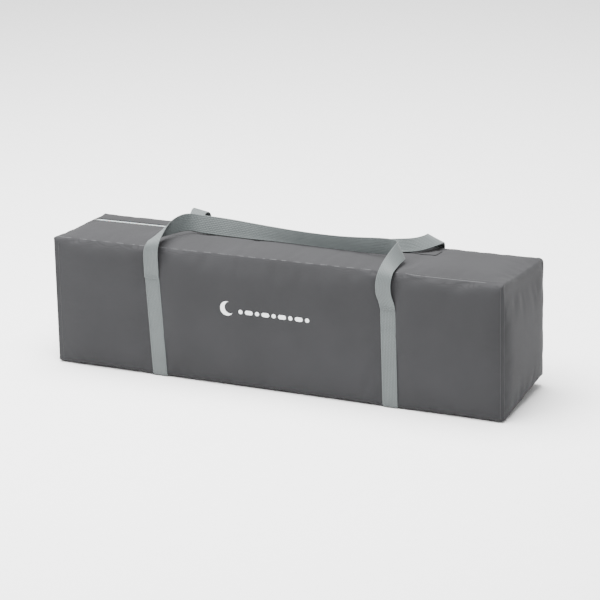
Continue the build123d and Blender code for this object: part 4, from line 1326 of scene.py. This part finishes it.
# Both edges of each strap are sewn down, and two close rows fix each end of the handles.
for side, (foot_x, head_x, head_z) in zip(("left", "right"), STRAP_LINES):
    strap_surface = surface_of(bpy.data.objects[f"webbing_strap_{side}"])
    edge_rows = []
    for outer_y in (front_y - web_thick, back_y + web_thick):
        for edge in (-half_web + 0.0025, half_web - 0.0025):
            edge_rows.append(((foot_x + edge, outer_y, 0.008), (head_x + edge, outer_y, head_z - 0.014)))
    rows = sew(f"stitches_strap_{side}", edge_rows, strap_surface, web_thread)
    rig.ride(rows, "packed_bag")
    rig.slot(rows, "webbing")
for side, sign in (("front", -1), ("back", 1)):
    handle_surface = surface_of(bpy.data.objects[f"webbing_{side}_handle"])
    handle_y = sign * (abs(web_y) + 2 * web_thick)
    end_rows = []
    for middle_x, low_z in ((-0.205, 0.1632), (0.1945, 0.1602)):
        for z in (low_z, low_z + 0.0028):
            end_rows.append(((middle_x - 0.0105, handle_y, z), (middle_x + 0.0105, handle_y, z)))
    rows = sew(f"stitches_{side}_handle", end_rows, handle_surface, web_thread, pitch=0.0032)
    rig.ride(rows, "packed_bag")
    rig.slot(rows, "webbing")

# ---------------------------------------------------------------- printed mark
# The front panel carries a plain mark screen printed in white ink: a crescent and a row of
# dots and dashes. The ink is a thin rubbery film that follows the cloth.


def screen_ink():
    """White ink film, a little uneven over the weave."""
    made, tree, shader = new_material("screen_ink", Roughness=0.5, IOR=1.48)
    place = add_node(tree, "TexCoord").outputs["Object"]
    grain = add_node(tree, "TexNoise", {"Scale": 500.0, "Detail": 3.0}, {"Vector": place})
    bump = add_node(tree, "Bump", {"Strength": 0.25, "Distance": 0.0002}, {"Height": grain.outputs[0]})
    tree.links.new(bump.outputs[0], shader.inputs["Normal"])
    tints = {6: colour("#dfe3e3"), 7: colour("#f4f6f6")}
    film = add_node(tree, "Mix", tints, {0: grain.outputs[0]}, data_type="RGBA")
    tree.links.new(film.outputs[2], shader.inputs["Base Color"])
    return made


INK_THICK = 0.0002
MARK_LEFT, MARK_RIGHT, MARK_Z = -0.085, 0.073, 0.129
CRESCENT_RADIUS, DOT_RADIUS, DASH_LENGTH, DOT_GAP = 0.0115, 0.0034, 0.013, 0.0042


def add_disc(x, z, radius, depth):
    """A thin round plate standing upright, facing the front."""
    bpy.ops.object.select_all(action="DESELECT")
    bpy.ops.mesh.primitive_cylinder_add(
        vertices=32, radius=radius, depth=depth, location=(x, front_y, z), rotation=(math.pi / 2, 0, 0),
    )
    disc = bpy.context.object
    bpy.ops.object.transform_apply(location=True, rotation=True, scale=True)
    return disc


moon = add_disc(MARK_LEFT + CRESCENT_RADIUS, MARK_Z, CRESCENT_RADIUS, INK_THICK)
bite = add_disc(MARK_LEFT + CRESCENT_RADIUS * 1.5, MARK_Z + 0.002, CRESCENT_RADIUS * 0.85, 0.01)
hollow = moon.modifiers.new("Bite", "BOOLEAN")
hollow.object = bite
finish_modifiers(moon)
bpy.data.objects.remove(bite)
marks = [moon]
at = MARK_LEFT + 2 * CRESCENT_RADIUS + 2 * DOT_GAP
long_one = False
while at + DASH_LENGTH < MARK_RIGHT + 0.001:
    dot = add_disc(at + DOT_RADIUS, MARK_Z - 0.003, DOT_RADIUS, INK_THICK)
    if long_one:
        stretch = DASH_LENGTH - 2 * DOT_RADIUS
        for vertex in dot.data.vertices:
            if vertex.co.x > at + DOT_RADIUS:
                vertex.co.x += stretch
    marks.append(dot)
    at += (DASH_LENGTH if long_one else 2 * DOT_RADIUS) + DOT_GAP
    long_one = not long_one
select_only(moon)
for mark in marks:
    mark.select_set(True)
bpy.ops.object.join()
mark = bpy.context.object
mark.name = "printed_mark"
for vertex in mark.data.vertices:
    raised = front_y - vertex.co.y
    hit = skin.ray_cast(Vector((vertex.co.x, front_y - 0.1, vertex.co.z)), Vector((0, 1, 0)))[0]
    vertex.co.y = hit.y - INK_THICK / 2 - raised
mark.data.materials.clear()
mark.data.materials.append(screen_ink())
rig.ride(mark, "packed_bag")

# ---------------------------------------------------------------- studio
# A pale floor, a soft white world around it, a broad soft light overhead and a long lens that looks down on the bag
# from its right front corner.
VIEW_TURN, VIEW_RISE, VIEW_ROLL = math.radians(24.86), math.radians(18.79), math.radians(-1.28)
VIEW_DISTANCE = 4.689
TARGET = Vector((0.0069, 0.0, 0.1219))


def lamp(name, place, size, power, aim):
    """A square area light that looks at a point."""
    bpy.ops.object.light_add(type="AREA", location=place)
    light = bpy.context.object
    light.name = name
    light.data.shape = "SQUARE"
    light.data.size = size
    light.data.energy = power
    light.rotation_euler = (Vector(aim) - Vector(place)).to_track_quat("-Z", "Y").to_euler()


def paper_floor():
    """Matt white studio paper."""
    made, tree, shader = new_material("studio_paper", Roughness=0.9)
    place = add_node(tree, "TexCoord").outputs["Object"]
    pulp = add_node(tree, "TexNoise", {"Scale": 40.0, "Detail": 4.0}, {"Vector": place})
    tints = {6: colour("#f6f6f6"), 7: colour("#fafafa")}
    white = add_node(tree, "Mix", tints, {0: pulp.outputs[0]}, data_type="RGBA")
    tree.links.new(white.outputs[2], shader.inputs["Base Color"])
    return made


bpy.ops.mesh.primitive_plane_add(size=40, location=(0, 0, -0.0005))
floor = bpy.context.object
floor.name = "floor"
floor.data.materials.append(paper_floor())
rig.stage(floor)

world = bpy.data.worlds.new("soft_room")
bpy.context.scene.world = world
world.use_nodes = True
world.node_tree.nodes["Background"].inputs["Color"].default_value = colour("#ffffff")
world.node_tree.nodes["Background"].inputs["Strength"].default_value = 0.8
lamp("overhead", (-0.35, -0.2, 2.6), 2.6, 400, (0, 0, 0.1))

back = Vector((
    math.sin(VIEW_TURN) * math.cos(VIEW_RISE),
    -math.cos(VIEW_TURN) * math.cos(VIEW_RISE),
    math.sin(VIEW_RISE),
))
bpy.ops.object.camera_add(location=TARGET + back * VIEW_DISTANCE)
camera = bpy.context.object
turn = back.to_track_quat("Z", "Y").to_matrix() @ Matrix.Rotation(VIEW_ROLL, 3, "Z")
camera.rotation_euler = turn.to_euler()
camera.data.lens = 180
camera.data.sensor_width = 36
camera.data.clip_end = 50
bpy.context.scene.camera = camera

visual_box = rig.bounds()
sizes = {"cad_box_m": [list(v) for v in cad_box], "visual_box_m": [list(v) for v in visual_box]}
with open("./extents.json", "w") as written:
    json.dump(sizes, written)
